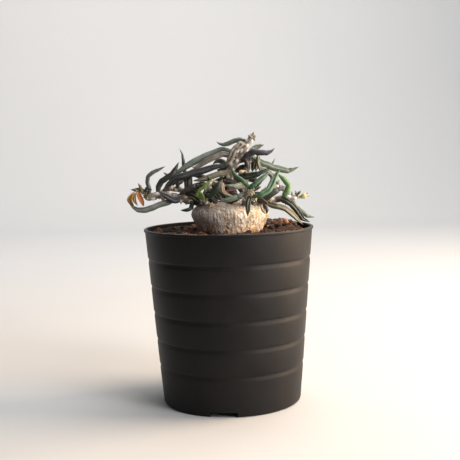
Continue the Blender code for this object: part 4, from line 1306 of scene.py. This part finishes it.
def fringe_finish():
    finish, tree, shader = new_finish("stipule_fringe")
    tone = kept_value(tree, "tone")
    patches = effect(tree, "mottling", Scale=1600.0, Contrast=3.0)
    colour = blended(tree, tone, tint(150, 120, 88), tint(226, 216, 196))
    colour = blended(tree, patches, colour, tint(108, 76, 52), share=0.5)
    feed(tree, shader.inputs["Base Color"], colour)
    feed(tree, shader.inputs["Roughness"], between(tree, patches, 0.55, 0.8))
    raise_surface(tree, shader, effect(tree, "fine_skin", Scale=3000.0, Roughening=0.8), 0.3, 0.06)
    return finish


fringe = fringe_finish()
stipules = Gathered()
stipule_draw = random.Random(7)
for stem in stems.values():
    add_stipules(stipules, stem, stipule_draw)
face_outwards(stipules.piece("stipules", fringe, "stem"))
print(len(stipules.places), "stipules")

# %% [markdown]
# ## The leaves
# A leaf of this plant is a gutter: a thick blade whose two edges roll up until they nearly meet,
# so that little water is lost. It narrows to a stalk at its foot and to a fine point at its tip.
# Its section is a circle with a groove let into the upper side. The groove's width differs from
# leaf to leaf, from a slit to an open trough. Each leaf is lofted: that section is swept along the
# middle line of its solid in the design, with more points near the groove, where the form turns
# sharply, and noise gives it the slight kinks of a leaf that has dried and plumped again.

# %% Sizes of a leaf
LEAF_SIDES = 34
LEAF_ROWS = 54
STALK_FULLNESS = 0.60
STALK_SHARE = 0.17
POINT_SHARE = 0.42
ROOT_DEPTH = 0.9 * MM  # how far the stalk runs into the stem


def leaf_fullness(share):
    """Radius at a share of the leaf's length, as a share of its greatest."""
    stalk = STALK_FULLNESS + (1 - STALK_FULLNESS) * min(1.0, share / STALK_SHARE) ** 0.8
    foot = 1 + 0.45 * math.exp(-((share / 0.03) ** 2))
    point = 1 - max(0.0, 1 - (1 - share) / POINT_SHARE) ** 1.9
    return stalk * foot * max(point, 0.035)


class LeafKind:
    """The form of one kind of leaf: how wide and deep its gutter is and how much it has shrivelled."""

    def __init__(self, gutter, depth, flat, kinks):
        self.gutter, self.depth, self.flat, self.kinks = gutter, depth, flat, kinks

    def width(self, share):
        """Half the gutter's width, in radians, at a share of the leaf's length."""
        return self.gutter * (0.75 + 0.5 * math.sin(math.pi * share))


FORMS = {
    "leaf_grey": LeafKind(0.42, 0.62, 0.92, 0.05),
    "leaf_dark": LeafKind(0.34, 0.55, 0.95, 0.06),
    "leaf_tan": LeafKind(0.58, 0.66, 0.86, 0.07),
    "leaf_purple": LeafKind(0.38, 0.58, 0.92, 0.06),
    "leaf_olive": LeafKind(0.62, 0.60, 0.78, 0.11),
    "leaf_brown": LeafKind(0.40, 0.60, 0.86, 0.10),
    "leaf_fresh": LeafKind(0.36, 0.50, 0.94, 0.03),
    "leaf_deep": LeafKind(0.40, 0.56, 0.90, 0.04),
    "leaf_sage": LeafKind(0.46, 0.62, 0.90, 0.05),
    "leaf_green": LeafKind(0.40, 0.58, 0.92, 0.03),
    "leaf_red": LeafKind(0.36, 0.50, 0.90, 0.06),
    "leaf_cream": LeafKind(0.75, 0.60, 0.70, 0.10),
}


def leaf_section(form, turn, share):
    """Radius of the section at a turn from the groove, as a share of the leaf's."""
    opening = min(1.0, max(0.0, (share - 0.04) / 0.12)) * min(1.0, (1 - share) / 0.06)
    width = form.width(share)
    dip = form.depth * opening * math.exp(-((abs(turn) / width) ** 2.6))
    lip = 0.05 * opening * math.exp(-(((abs(turn) - 1.45 * width) / (0.5 * width)) ** 2))
    return 1 - dip + lip


def leaf_rows(line, thickness, form, groove_turn, seed, sides=LEAF_SIDES):
    """Rings of points of a leaf along a line, and the values that its finish needs."""
    tangents, ups = frames_along(line)
    rows, values = [], {"along": [], "lip": [], "inside": []}
    shares = np.linspace(0, 1, len(line))
    shares_round = [2 * (k + 0.5) / sides - 1 for k in range(sides)]
    turns = [math.pi * math.copysign(abs(t) ** 1.35, t) for t in shares_round]
    for share, centre, tangent, up in zip(shares, line, tangents, ups):
        side = np.cross(tangent, up)
        facing = round_from(up, side, groove_turn)
        beside = np.cross(tangent, facing)
        radius = thickness / 2 * leaf_fullness(share)
        sway = noise.noise(Vector((share * 5, seed, 2.0)))
        row = []
        for turn in turns:
            kink = noise.noise(Vector((share * 9, math.cos(turn) * 1.3, seed + math.sin(turn) * 1.3)))
            reach = radius * leaf_section(form, turn, share) * (1 + form.kinks * (kink + 0.6 * sway))
            reach *= 1 + 0.012 * math.sin(11 * turn + seed)
            row.append(centre + reach * (form.flat * math.cos(turn) * facing + math.sin(turn) * beside))
            width = form.width(share)
            values["along"].append(share)
            values["inside"].append(math.exp(-((abs(turn) / width) ** 3)))
            values["lip"].append(math.exp(-(((abs(turn) - 1.3 * width) / (0.45 * width)) ** 2)))
        rows.append(row)
    return rows, values


def leaf_skin(rows, line, values):
    """Joins the rings and closes both ends in a point."""
    sides = len(rows[0])
    places = [point for row in rows for point in row]
    first, last = len(places), len(places) + 1
    places += [line[0], line[-1] + (line[-1] - line[-2]) * 0.6]
    faces = joined_rows(rows)
    for k in range(sides):
        n = (k + 1) % sides
        faces.append((first, k, n))
        faces.append((last, len(places) - 2 - sides + n, len(places) - 2 - sides + k))
    for label, value in {"along": (0.0, 1.0), "lip": (0.0, 0.0), "inside": (0.0, 0.0)}.items():
        values[label] = [*values[label], *value]
    return places, faces


# %% [markdown]
# ### Waxy leaf skin
# The skin is matt with a thin grey bloom. Its colour runs from the foot to the tip, the gutter is
# paler inside, its two edges are dark or teal, and the very tip is a dry red-brown. All of these are
# read from the values kept on the mesh. Each kind of leaf has its own seven colours, and each leaf a
# tone of its own.

# %% The leaf finishes
LEAF_COLOURS = {
    # kind: (body, second body colour, gutter, edge, foot, tip, bloom strength)
    "leaf_grey": (
        (96, 108, 98), (126, 132, 120), (160, 144, 130), (44, 66, 64), (126, 112, 98), (86, 62, 58),
        0.26,
    ),
    "leaf_dark": (
        (40, 44, 35), (62, 64, 50), (92, 86, 72), (24, 29, 27), (92, 80, 66), (56, 42, 38),
        0.16,
    ),
    "leaf_tan": (
        (168, 150, 130), (146, 134, 116), (120, 104, 88), (82, 80, 72), (160, 142, 118), (104, 76, 62),
        0.22,
    ),
    "leaf_purple": (
        (38, 38, 46), (60, 57, 64), (96, 86, 86), (24, 26, 34), (92, 80, 76), (92, 48, 50),
        0.18,
    ),
    "leaf_olive": (
        (98, 94, 62), (122, 116, 84), (138, 126, 98), (58, 54, 38), (128, 110, 78), (76, 56, 44),
        0.14,
    ),
    "leaf_brown": (
        (54, 46, 40), (78, 66, 58), (102, 86, 76), (34, 29, 29), (104, 82, 66), (70, 42, 38),
        0.18,
    ),
    "leaf_fresh": (
        (104, 144, 84), (120, 156, 92), (158, 178, 122), (60, 98, 52), (170, 172, 124), (92, 104, 62),
        0.12,
    ),
    "leaf_young": (
        (118, 146, 52), (96, 126, 48), (84, 112, 40), (158, 176, 88), (160, 162, 96), (120, 120, 60),
        0.06,
    ),
    "leaf_deep": (
        (32, 47, 34), (48, 63, 46), (72, 84, 64), (20, 31, 26), (84, 84, 62), (54, 48, 38),
        0.14,
    ),
    "leaf_sage": (
        (104, 120, 94), (132, 142, 118), (158, 158, 134), (60, 78, 64), (138, 132, 108), (90, 74, 62),
        0.26,
    ),
    "leaf_green": (
        (60, 104, 66), (84, 124, 82), (118, 148, 106), (30, 62, 46), (132, 146, 98), (66, 76, 52),
        0.14,
    ),
    "leaf_red": (
        (104, 54, 58), (86, 52, 52), (150, 96, 92), (60, 32, 38), (128, 92, 76), (86, 40, 40),
        0.16,
    ),
    "leaf_cream": (
        (206, 180, 148), (184, 150, 114), (214, 194, 164), (150, 114, 80), (154, 124, 92), (134, 96, 66),
        0.08,
    ),
}


def leaf_finish(name, colours):
    *six, bloom = colours
    body, second, gutter, edge, foot, tip = (tint(*colour) for colour in six)
    finish, tree, shader = new_finish(name + "_skin")
    along, inside = kept_value(tree, "along"), kept_value(tree, "inside")
    lip, tone = kept_value(tree, "lip"), kept_value(tree, "tone")
    patches = effect(tree, "mottling", Scale=230.0, Contrast=3.0)
    specks = effect(tree, "mottling", Scale=1500.0, Contrast=5.0)
    skin = blended(tree, patches, body, second)
    skin = blended(tree, inside, skin, gutter, share=0.7)
    skin = blended(tree, lip, skin, edge, share=0.6)
    skin = blended(tree, falling(tree, along, 0.13, 9.0), skin, foot)
    skin = blended(tree, rising(tree, along, 0.90, 9.0), skin, tip)
    waxy = effect(tree, "dust", Amount=bloom * 1.6, Scale=300.0)
    skin = blended(tree, waxy, skin, tint(188, 192, 186))
    skin = blended(tree, specks, skin, edge, share=0.16)
    darker = blended(tree, between(tree, tone, 0.12, 0.48), skin, tint(32, 31, 29))
    feed(tree, shader.inputs["Base Color"], darker)
    feed(tree, shader.inputs["Roughness"], between(tree, patches, 0.40, 0.58))
    grain = effect(tree, "fine_skin", Scale=1500.0, Roughening=1.2)
    raise_surface(tree, shader, grain, 0.35, 0.12)
    return finish


LEAF_FINISHES = {name: leaf_finish(name, colours) for name, colours in LEAF_COLOURS.items()}
FINISH_OF = {"leaf_young": "leaf_young", "young_leaf_fork": "leaf_young"}  # others wear their slot's
print(len(LEAF_FINISHES), "leaf finishes")

# %% Grow the leaves
skin_surface = shown_surface(stem_skins)
MIDDLE_SLICES = slice(7, 10)  # clear of the stalk and of the point
GROOVE_FACING = math.radians(42)  # how far each groove is turned towards the outside of the plant


def leaf_line(node):
    """A leaf's middle line from inside its stem to its tip, and its thickness."""
    points, radii = middle_line(node)
    if radii[2:5].mean() < radii[-5:-2].mean():
        points, radii = points[::-1], radii[::-1]
    nearest = np.array(skin_surface.find_nearest(Vector(points[0]))[0])
    inward = nearest - points[1]
    root = nearest + inward / np.linalg.norm(inward) * ROOT_DEPTH
    points = np.concatenate([[root], points[1:]])
    return smooth_line(points, LEAF_ROWS), 2.1 * float(np.median(radii[MIDDLE_SLICES]))


def outward_turn(line):
    """The groove's turn about the leaf, which brings it from the top towards the outside of the plant."""
    tangents, ups = frames_along(line)
    middle = len(line) // 2
    out = line[middle] - np.array(CROWN)
    out[2] = 0.0
    side = np.cross(tangents[middle], ups[middle])
    return GROOVE_FACING * (1 if side @ out > 0 else -1)


def make_leaf(name, line, thickness, slot, seed, sides=LEAF_SIDES):
    rows, values = leaf_rows(line, thickness, FORMS[slot], outward_turn(line), seed, sides)
    places, faces = leaf_skin(rows, line, values)
    values["tone"] = [random.Random(seed).random()] * len(places)
    finish = LEAF_FINISHES[FINISH_OF.get(name.removesuffix("_blade"), slot)]
    return face_outwards(add_piece(name, places, faces, finish, slot, values))


for seed, node in enumerate(LEAF_NODES):
    line, thickness = leaf_line(node)
    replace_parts(make_leaf(node + "_blade", line, thickness, SLOT_OF[node], seed), node)
print(len(LEAF_NODES), "leaves grown")

# %% [markdown]
# ### Young leaves and shoot tips
# Where a stem still grows, it ends in a tuft of leaves a few millimetres long, and here and there
# a young leaf stands alone. They are too small for the design, so they are listed one by one, in
# millimetres from the crown, and made with the same loft as the others.

# %% Place the young leaves
YOUNG_LEAVES = {
    # name: (slot, thickness in mm, route from the crown)
    "young_leaf_arch": ("leaf_grey", 1.3, [(-31.4, -3, 13.6), (-32.4, -3.6, 16.2), (-34.7, -4, 17.7)]),
    "young_leaf_shoot_up": ("leaf_olive", 1.6, [(-45.4, -7.6, 6.8), (-46.3, -8.6, 10.1), (-47.5, -9, 12.6)]),
    "young_leaf_shoot_left": ("leaf_olive", 1.4, [(-46.6, -7.6, 7.6), (-48.8, -8, 9.1), (-51.0, -8, 9.4)]),
    "young_leaf_shoot_curl": ("leaf_dark", 1.7, [(-44.0, -8, 8.2), (-42.8, -9.6, 10.4), (-40.2, -10, 8.7)]),
    "young_leaf_right": ("leaf_sage", 1.3, [(32.0, -3.6, 1.4), (32.6, -4, 3.8), (32.7, -4.2, 6.4)]),
    "young_leaf_fork": ("leaf_fresh", 1.6, [(-13.4, -15.6, 3.2), (-14.0, -16.4, 6.0), (-16.6, -16.6, 8.4)]),
    "young_leaf_inner": ("leaf_red", 1.8, [(-3.6, -13.4, 7.0), (-0.3, -14.4, 7.6), (3.6, -15, 8.3)]),
    "dry_leaf_right": ("leaf_cream", 2.6, [(16.5, -15.5, -0.1), (16.9, -18, -2.3), (18.1, -18.6, -4.3)]),
    "dry_leaf_right_brown": ("leaf_brown", 2.2, [(17.5, -15, 0.6), (18.9, -17.6, -1.6), (18.6, -18, -4.4)]),
    "dry_leaf_crest": ("leaf_brown", 3.0, [(7.5, -4, 24.3), (9.0, -6, 22.8), (9.7, -6, 18.6)]),
    "dry_leaf_crest_pale": ("leaf_cream", 2.4, [(8.8, -6, 17.0), (6.2, -8, 17.4), (5.1, -8, 15.6)]),
    "crest_stalk": ("leaf_sage", 2.4, [(15.5, -1, 25.7), (15.6, -2, 21.0), (16.8, -2, 16.7)]),
    "low_leaf_left": ("leaf_deep", 3.2, [(-9.6, -10, 8.2), (-7.0, -13, 5.7), (-4.5, -15, 2.9)]),
    "low_leaf_middle": ("leaf_dark", 3.0, [(-1.0, -9, 1.2), (2.2, -12, 3.1), (5.8, -14, 4.4)]),
    "low_leaf_back": ("leaf_dark", 3.4, [(-4.1, -2, 4.6), (1.2, -3, 5.0), (7.0, -4, 2.8)]),
    "low_leaf_right": ("leaf_deep", 3.2, [(11.1, -8, 1.4), (14.7, -10, 3.5), (18.9, -10, 4.4)]),
    "low_leaf_left_back": ("leaf_brown", 3.2, [(-14.1, -4, 2.3), (-10.8, -6, 4.9), (-6.6, -7, 7.0)]),
    "inner_leaf_crest_1": ("leaf_brown", 3.6, [(2.2, 3, 21.2), (6.0, 3, 23.3), (10.2, 3, 22.6)]),
    "inner_leaf_crest_2": ("leaf_dark", 3.6, [(3.2, 4, 17.5), (6.9, 4, 19.0), (11.2, 4, 19.4)]),
    "inner_leaf_crest_3": ("leaf_deep", 3.0, [(12.4, 4, 25.8), (13.2, 4, 21.5), (12.2, 4, 16.7)]),
    "inner_leaf_crest_4": ("leaf_olive", 2.4, [(14.8, 2, 24.7), (14.7, 2, 20.4), (14.1, 2, 16.7)]),
    "inner_leaf_middle_1": ("leaf_dark", 3.4, [(-1.0, 4, 20.8), (0.7, 4, 16.4), (0.4, 4, 11.6)]),
    "inner_leaf_middle_2": ("leaf_deep", 3.6, [(-9.1, -5, 11.1), (-5.5, -5, 7.4), (-1.4, -5, 4.1)]),
    "inner_leaf_middle_3": ("leaf_brown", 4.0, [(-2.8, 7, 14.3), (2.6, 7, 13.6), (8.4, 7, 11.4)]),
    "inner_leaf_middle_4": ("leaf_brown", 3.2, [(4.1, 2, 10.0), (6.6, 2, 6.8), (9.2, 2, 3.0)]),
    "inner_leaf_right_1": ("leaf_deep", 3.0, [(10.0, 5, 8.7), (14.3, 5, 9.7), (18.7, 5, 14.4)]),
    "inner_leaf_right_2": ("leaf_dark", 3.4, [(17.3, 2, 3.9), (21.0, 2, 5.9), (25.3, 2, 6.9)]),
    "inner_leaf_left_1": ("leaf_dark", 4.4, [(-16.2, -5, 1.3), (-19.9, -4, 3.7), (-24.6, -4, 4.1)]),
    "inner_leaf_left_2": ("leaf_purple", 4.6, [(-15.6, -1, 8.5), (-20.4, -2, 8.1), (-25.2, -2, 6.6)]),
    "inner_leaf_left_3": ("leaf_dark", 3.4, [(-6.7, -8, 1.3), (-10.3, -8, 3.5), (-13.9, -8, 5.1)]),
    "inner_leaf_brown": ("leaf_brown", 3.0, [(-2.8, -5, 12.6), (0.9, -6, 12.0), (5.0, -7, 10.9)]),
    "inner_leaf_dark_1": ("leaf_dark", 4.2, [(-6.2, 9, 17.0), (0.4, 9, 18.6), (7.6, 8, 18.0)]),
    "inner_leaf_dark_2": ("leaf_dark", 4.2, [(-8.6, 9, 11.0), (-1.6, 9, 12.4), (6.6, 8, 12.2)]),
    "inner_leaf_dark_3": ("leaf_dark", 4.0, [(4.6, 8, 15.0), (10.0, 8, 13.6), (16.2, 7, 11.6)]),
    "inner_leaf_dark_4": ("leaf_dark", 3.8, [(-12.0, 6, 6.2), (-5.0, 7, 7.6), (2.6, 7, 7.4)]),
    "inner_leaf_dark_5": ("leaf_dark", 3.6, [(5.0, 6, 8.2), (10.6, 7, 7.2), (17.2, 7, 8.6)]),
}

for seed, (name, (slot, thickness, route)) in enumerate(YOUNG_LEAVES.items()):
    line = smooth_line([from_crown(*spot) for spot in route], 30)
    make_leaf(name, line, thickness * MM, slot, 200 + seed, 20)
print(len(YOUNG_LEAVES), "young and dry leaves")

# %% Tufts at the tips of the stems
TUFT_LEAVES = 6


def add_tuft(name, stem, slot, draw):
    """A ring of very small leaves round a stem's tip."""
    centre, tangent, up, side, radius = stem.at(stem.along[-1])
    for k in range(TUFT_LEAVES):
        out = round_from(up, side, k * GOLDEN_ANGLE)
        length = draw.uniform(1.6, 3.2) * MM
        root = centre + out * radius * 0.35 - tangent * radius * 0.3
        lean = draw.uniform(0.25, 0.75)
        points = [root + length * (tangent * t + out * lean * t * t) for t in (0, 0.35, 0.7, 1.0)]
        thickness = draw.uniform(0.8, 1.2) * MM
        make_leaf(f"{name}_{k + 1}", smooth_line(points, 14), thickness, slot, 300 + k + len(name), 14)


TUFT_SLOTS = {
    "stem_front": "leaf_olive",
    "stem_right": "leaf_olive",
    "stem_left": "leaf_olive",
    "stem_back": "leaf_sage",
    "stem_back_left": "leaf_grey",
    "stem_back_right": "leaf_sage",
    "stem_front_left": "leaf_deep",
    "stem_upper_right": "leaf_grey",
}
tuft_draw = random.Random(19)
for node, slot in TUFT_SLOTS.items():
    add_tuft(node.replace("stem", "tuft"), stems[node], slot, tuft_draw)
print(len(TUFT_SLOTS), "tufts")

# %% [markdown]
# ### Blunt knobs
# Some tips are at rest, and end in a blunt knob of packed scales instead of a tuft. Where the
# rosette grows, such scales are straw-coloured. Each knob is a cluster of small scales round a
# point, every one a dented oval that points outwards.

# %% Cluster the knobs
KNOBS = {
    # name: (across in mm, scales, tones from and to, place from the crown)
    "knob_top": (4.4, 16, (0.0, 0.4), (12.4, -3.0, 34.9)),
    "knob_olive": (4.6, 18, (0.1, 0.5), (-40.6, -7.0, 5.2)),
    "knob_rosette": (4.2, 30, (0.5, 1.0), (10.4, -29.0, 7.4)),
    "knob_rosette_low": (3.2, 18, (0.6, 1.0), (12.0, -26.6, 3.8)),
    "knob_right": (3.2, 20, (0.6, 1.0), (20.8, -8.5, 2.2)),
    "knob_crown_left": (2.8, 14, (0.6, 1.0), (-9.6, -15.5, 0.8)),
    "knob_shoot": (2.6, 14, (0.4, 0.8), (-30.4, -9.0, 9.6)),
}


def knob_finish():
    finish, tree, shader = new_finish("packed_scales")
    tone = kept_value(tree, "tone")
    patches = effect(tree, "mottling", Scale=1100.0, Contrast=3.4)
    colour = blended(tree, tone, tint(104, 106, 84), tint(214, 198, 164))
    colour = blended(tree, patches, colour, tint(128, 102, 76), share=0.7)
    feed(tree, shader.inputs["Base Color"], colour)
    feed(tree, shader.inputs["Roughness"], between(tree, patches, 0.5, 0.76))
    raise_surface(tree, shader, effect(tree, "fine_skin", Scale=2600.0, Roughening=1.0), 0.45, 0.1)
    return finish


def make_knob(name, across, count, tones, spot, draw, finish):
    scales = Gathered()
    shapes = crumb_shapes(0.9, 11)
    for k in range(count):
        rise = 1 - 2 * (k + 0.5) / count
        flat = math.sqrt(1 - rise * rise)
        way = Vector((flat * math.cos(k * GOLDEN_ANGLE), flat * math.sin(k * GOLDEN_ANGLE), rise))
        points, faces = shapes[k % len(shapes)]
        size = across * MM * draw.uniform(0.13, 0.24)
        drawn_out = Matrix.Diagonal((0.75, 0.75, draw.uniform(1.2, 2.0)))
        turned = way.to_track_quat("Z", "Y").to_matrix() @ drawn_out
        middle = np.array(spot + way * across * MM * draw.uniform(0.16, 0.30))
        scales.add(points @ np.array(turned).T * size + middle, faces, draw.uniform(*tones))
    return face_outwards(scales.piece(name, finish, "stem"))


scale_finish = knob_finish()
knob_draw = random.Random(23)
for name, (across, count, tones, spot) in KNOBS.items():
    make_knob(name, across, count, tones, from_crown(*spot), knob_draw, scale_finish)
print(len(KNOBS), "knobs")

# %% [markdown]
# ## The bud and the dried bracts
# Two shoots carry flowers. On the right one is a fresh bud, a small ribbed cup. On the left one
# the flower is over, and its bracts have dried to thin curled sheets, orange to ochre. The cup is
# lofted like a stem with five ribs. Each bract is a strip bent across its width, with Solidify
# giving it the thickness of paper.

# %% Make the bud
BUD_SIDES = 30
BUD_ROWS = 26


def bud_finish():
    finish, tree, shader = new_finish("bud_skin")
    along = kept_value(tree, "along")
    patches = effect(tree, "mottling", Scale=500.0, Contrast=3.0)
    skin = blended(tree, patches, tint(146, 142, 84), tint(188, 178, 118))
    skin = blended(tree, reckon(tree, "POWER", along, 3.0), skin, tint(206, 186, 132))
    feed(tree, shader.inputs["Base Color"], skin)
    feed(tree, shader.inputs["Roughness"], between(tree, patches, 0.45, 0.65))
    raise_surface(tree, shader, effect(tree, "fine_skin", Scale=2200.0, Roughening=1.0), 0.4, 0.1)
    return finish


def make_bud():
    points, radii = rooted_first(*middle_line("bud"), CAUDEX_MIDDLE)
    nearest = np.array(skin_surface.find_nearest(Vector(points[0]))[0])
    line = smooth_line(np.concatenate([[nearest], points[1:]]), BUD_ROWS)
    tangents, ups = frames_along(line)
    rows, along = [], []
    for i, (centre, tangent, up) in enumerate(zip(line, tangents, ups)):
        share = i / (BUD_ROWS - 1)
        side = np.cross(tangent, up)
        cup = 0.42 + 0.62 * math.exp(-(((share - 0.66) / 0.24) ** 2))
        cup *= max(0.05, 1 - max(0.0, (share - 0.8) / 0.2) ** 2.2)
        row = []
        for k in range(BUD_SIDES):
            turn = k * math.tau / BUD_SIDES
            rib = 1 + 0.07 * math.cos(5 * turn) * math.sin(math.pi * share)
            row.append(centre + radii.max() * cup * rib * round_from(up, side, turn))
            along.append(share)
        rows.append(row)
    bud = add_piece("bud_cup", *tube(rows), bud_finish(), "bud", {"along": along})
    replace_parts(face_outwards(bud), "bud")
    lobes = Gathered()
    for k in range(5):
        out = round_from(ups[-1], np.cross(tangents[-1], ups[-1]), k * math.tau / 5)
        start = line[-4] + out * radii.max() * 0.45
        route = [start + 1.5 * MM * (tangents[-1] * t + out * 0.5 * t * t) for t in (0, 0.4, 0.7, 1.0)]
        add_spike(lobes, route, 0.24 * MM, 8, 0.2 * k)
    face_outwards(lobes.piece("bud_lobes", fringe, "bud"))


make_bud()
print("bud with five lobes")

# %% Make the dried bracts
BRACTS = {
    # name: (width in mm, curl across, tone, route from the crown)
    "bract_orange": (3.3, 2.0, 0.05, [
        (-47.8, -8, 8.3), (-47.1, -9.5, 5.4), (-46.0, -10.4, 3.1), (-44.9, -10.6, 0.8),
    ]),
    "bract_yellow": (3.8, 1.8, 0.45, [
        (-48.6, -7.6, 7.2), (-50.9, -9, 5.5), (-51.3, -9.8, 3.5), (-50.1, -10.2, 1.1),
    ]),
    "bract_tan": (2.6, 1.6, 0.95, [
        (-47.7, -8, 8.8), (-50.9, -8.4, 7.0), (-53.1, -9, 4.5), (-51.9, -9.8, 1.7),
    ]),
    "bract_pale": (1.7, 1.2, 1.0, [
        (-47.9, -9, 8.0), (-49.0, -10.2, 5.8), (-48.9, -10.8, 3.5), (-48.1, -11, 1.1),
    ]),
    "bract_back": (2.8, 1.6, 0.25, [
        (-47.7, -6, 8.4), (-49.4, -5.6, 6.3), (-50.5, -5.6, 4.0), (-49.5, -6.2, 1.7),
    ]),
}
BRACT_ROWS = 26
BRACT_COLUMNS = 13


def bract_finish():
    finish, tree, shader = new_finish("dried_bract_paper")
    tone, along = kept_value(tree, "tone"), kept_value(tree, "along")
    veins = effect(tree, "streaks", Scale=900.0, Length=6.0, Contrast=4.0)
    patches = effect(tree, "mottling", Scale=420.0, Contrast=3.5)
    ochre = reckon(tree, "MULTIPLY", tone, 2.2, clamp=True)
    golden = blended(tree, ochre, tint(146, 70, 26), tint(214, 168, 44))
    colour = blended(tree, rising(tree, tone, 0.5, 2.0), golden, tint(206, 182, 156))
    colour = blended(tree, patches, colour, tint(176, 112, 50), share=0.35)
    colour = blended(tree, veins, colour, tint(96, 58, 34), share=0.4)
    colour = blended(tree, reckon(tree, "POWER", along, 5.0), colour, tint(92, 62, 40))
    feed(tree, shader.inputs["Base Color"], colour)
    feed(tree, shader.inputs["Roughness"], between(tree, patches, 0.6, 0.82))
    raise_surface(tree, shader, reckon(tree, "ADD", veins, patches), 0.5, 0.15)
    return finish


def make_bract(name, width, curl, tone, route, finish, seed):
    line = smooth_line([from_crown(*spot) for spot in route], BRACT_ROWS)
    tangents, ups = frames_along(line)
    rows, along = [], []
    for i, (centre, tangent, up) in enumerate(zip(line, tangents, ups)):
        share = i / (BRACT_ROWS - 1)
        side = np.cross(tangent, up)
        half = width / 2 * MM * math.sin(math.pi * (0.08 + 0.86 * share)) ** 0.8
        row = []
        for k in range(BRACT_COLUMNS):
            across = 2 * k / (BRACT_COLUMNS - 1) - 1
            turn = across * curl / 2
            crumple = 0.10 * MM * noise.noise(Vector((share * 7, across * 3, seed)))
            bend = half / (curl / 2)
            row.append(centre + side * bend * math.sin(turn) + up * (bend * (1 - math.cos(turn)) + crumple))
            along.append(share)
        rows.append(row)
    places = [point for row in rows for point in row]
    values = {"along": along, "tone": [tone] * len(along)}
    bract = add_piece(name, places, joined_rows(rows, closed=False), finish, "bract", values)
    paper = bract.modifiers.new("paper", "SOLIDIFY")
    paper.thickness = 0.16 * MM
    paper.offset = 0.0
    return bract


paper_finish = bract_finish()
bracts = [make_bract(name, *sizes, paper_finish, k) for k, (name, sizes) in enumerate(BRACTS.items())]
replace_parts(bracts[0], "dried_bract")
print(len(bracts), "dried bracts")

# %% [markdown]
# ## The floor and backdrop
# The pot stands on a pale sweep, as in a small studio: a floor that curves up into a wall behind,
# so that no line shows where they meet. Its paper has a faint mottling.

# %% Lay the sweep
SWEEP_FRONT = -2.2
SWEEP_BACK = 1.0
SWEEP_CURVE = 0.5
SWEEP_HEIGHT = 2.4
SWEEP_HALF_WIDTH = 3.0


def sweep_finish():
    finish, tree, shader = new_finish("pale_sweep")
    patches = effect(tree, "mottling", Scale=3.0, Contrast=1.2)
    colour = blended(tree, patches, tint(194, 192, 190), tint(199, 197, 195))
    feed(tree, shader.inputs["Base Color"], colour)
    feed(tree, shader.inputs["Roughness"], between(tree, patches, 0.82, 0.9))
    return finish


side_line = [(SWEEP_FRONT, 0.0)]
side_line += [
    (SWEEP_BACK + SWEEP_CURVE * math.sin(turn), SWEEP_CURVE * (1 - math.cos(turn)))
    for turn in np.linspace(0, math.pi / 2, 25)
]
side_line.append((SWEEP_BACK + SWEEP_CURVE, SWEEP_HEIGHT))
sweep_rows = [[(-SWEEP_HALF_WIDTH, y, z), (SWEEP_HALF_WIDTH, y, z)] for y, z in side_line]
sweep_corners = [corner for row in sweep_rows for corner in row]
sweep_mesh = bpy.data.meshes.new("sweep")
sweep_mesh.from_pydata(sweep_corners, [], joined_rows(sweep_rows, closed=False))
sweep_mesh.shade_smooth()
sweep_mesh.materials.append(sweep_finish())
sweep = bpy.data.objects.new("sweep", sweep_mesh)
bpy.context.scene.collection.objects.link(sweep)
sweep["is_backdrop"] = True
print("sweep laid")

# %% [markdown]
# ## The size of the shown plant
# The shown plant is meant to fill the same box as the design. Both boxes are measured, and their
# sizes are printed.

# %% Print the size of both boxes
shown_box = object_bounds()
boxes = {"cad": [list(c) for c in cad_box], "visual": [list(c) for c in shown_box]}
for label, (low, high) in boxes.items():
    print(label, [round((h - l) / MM, 1) for l, h in zip(low, high)], "mm")
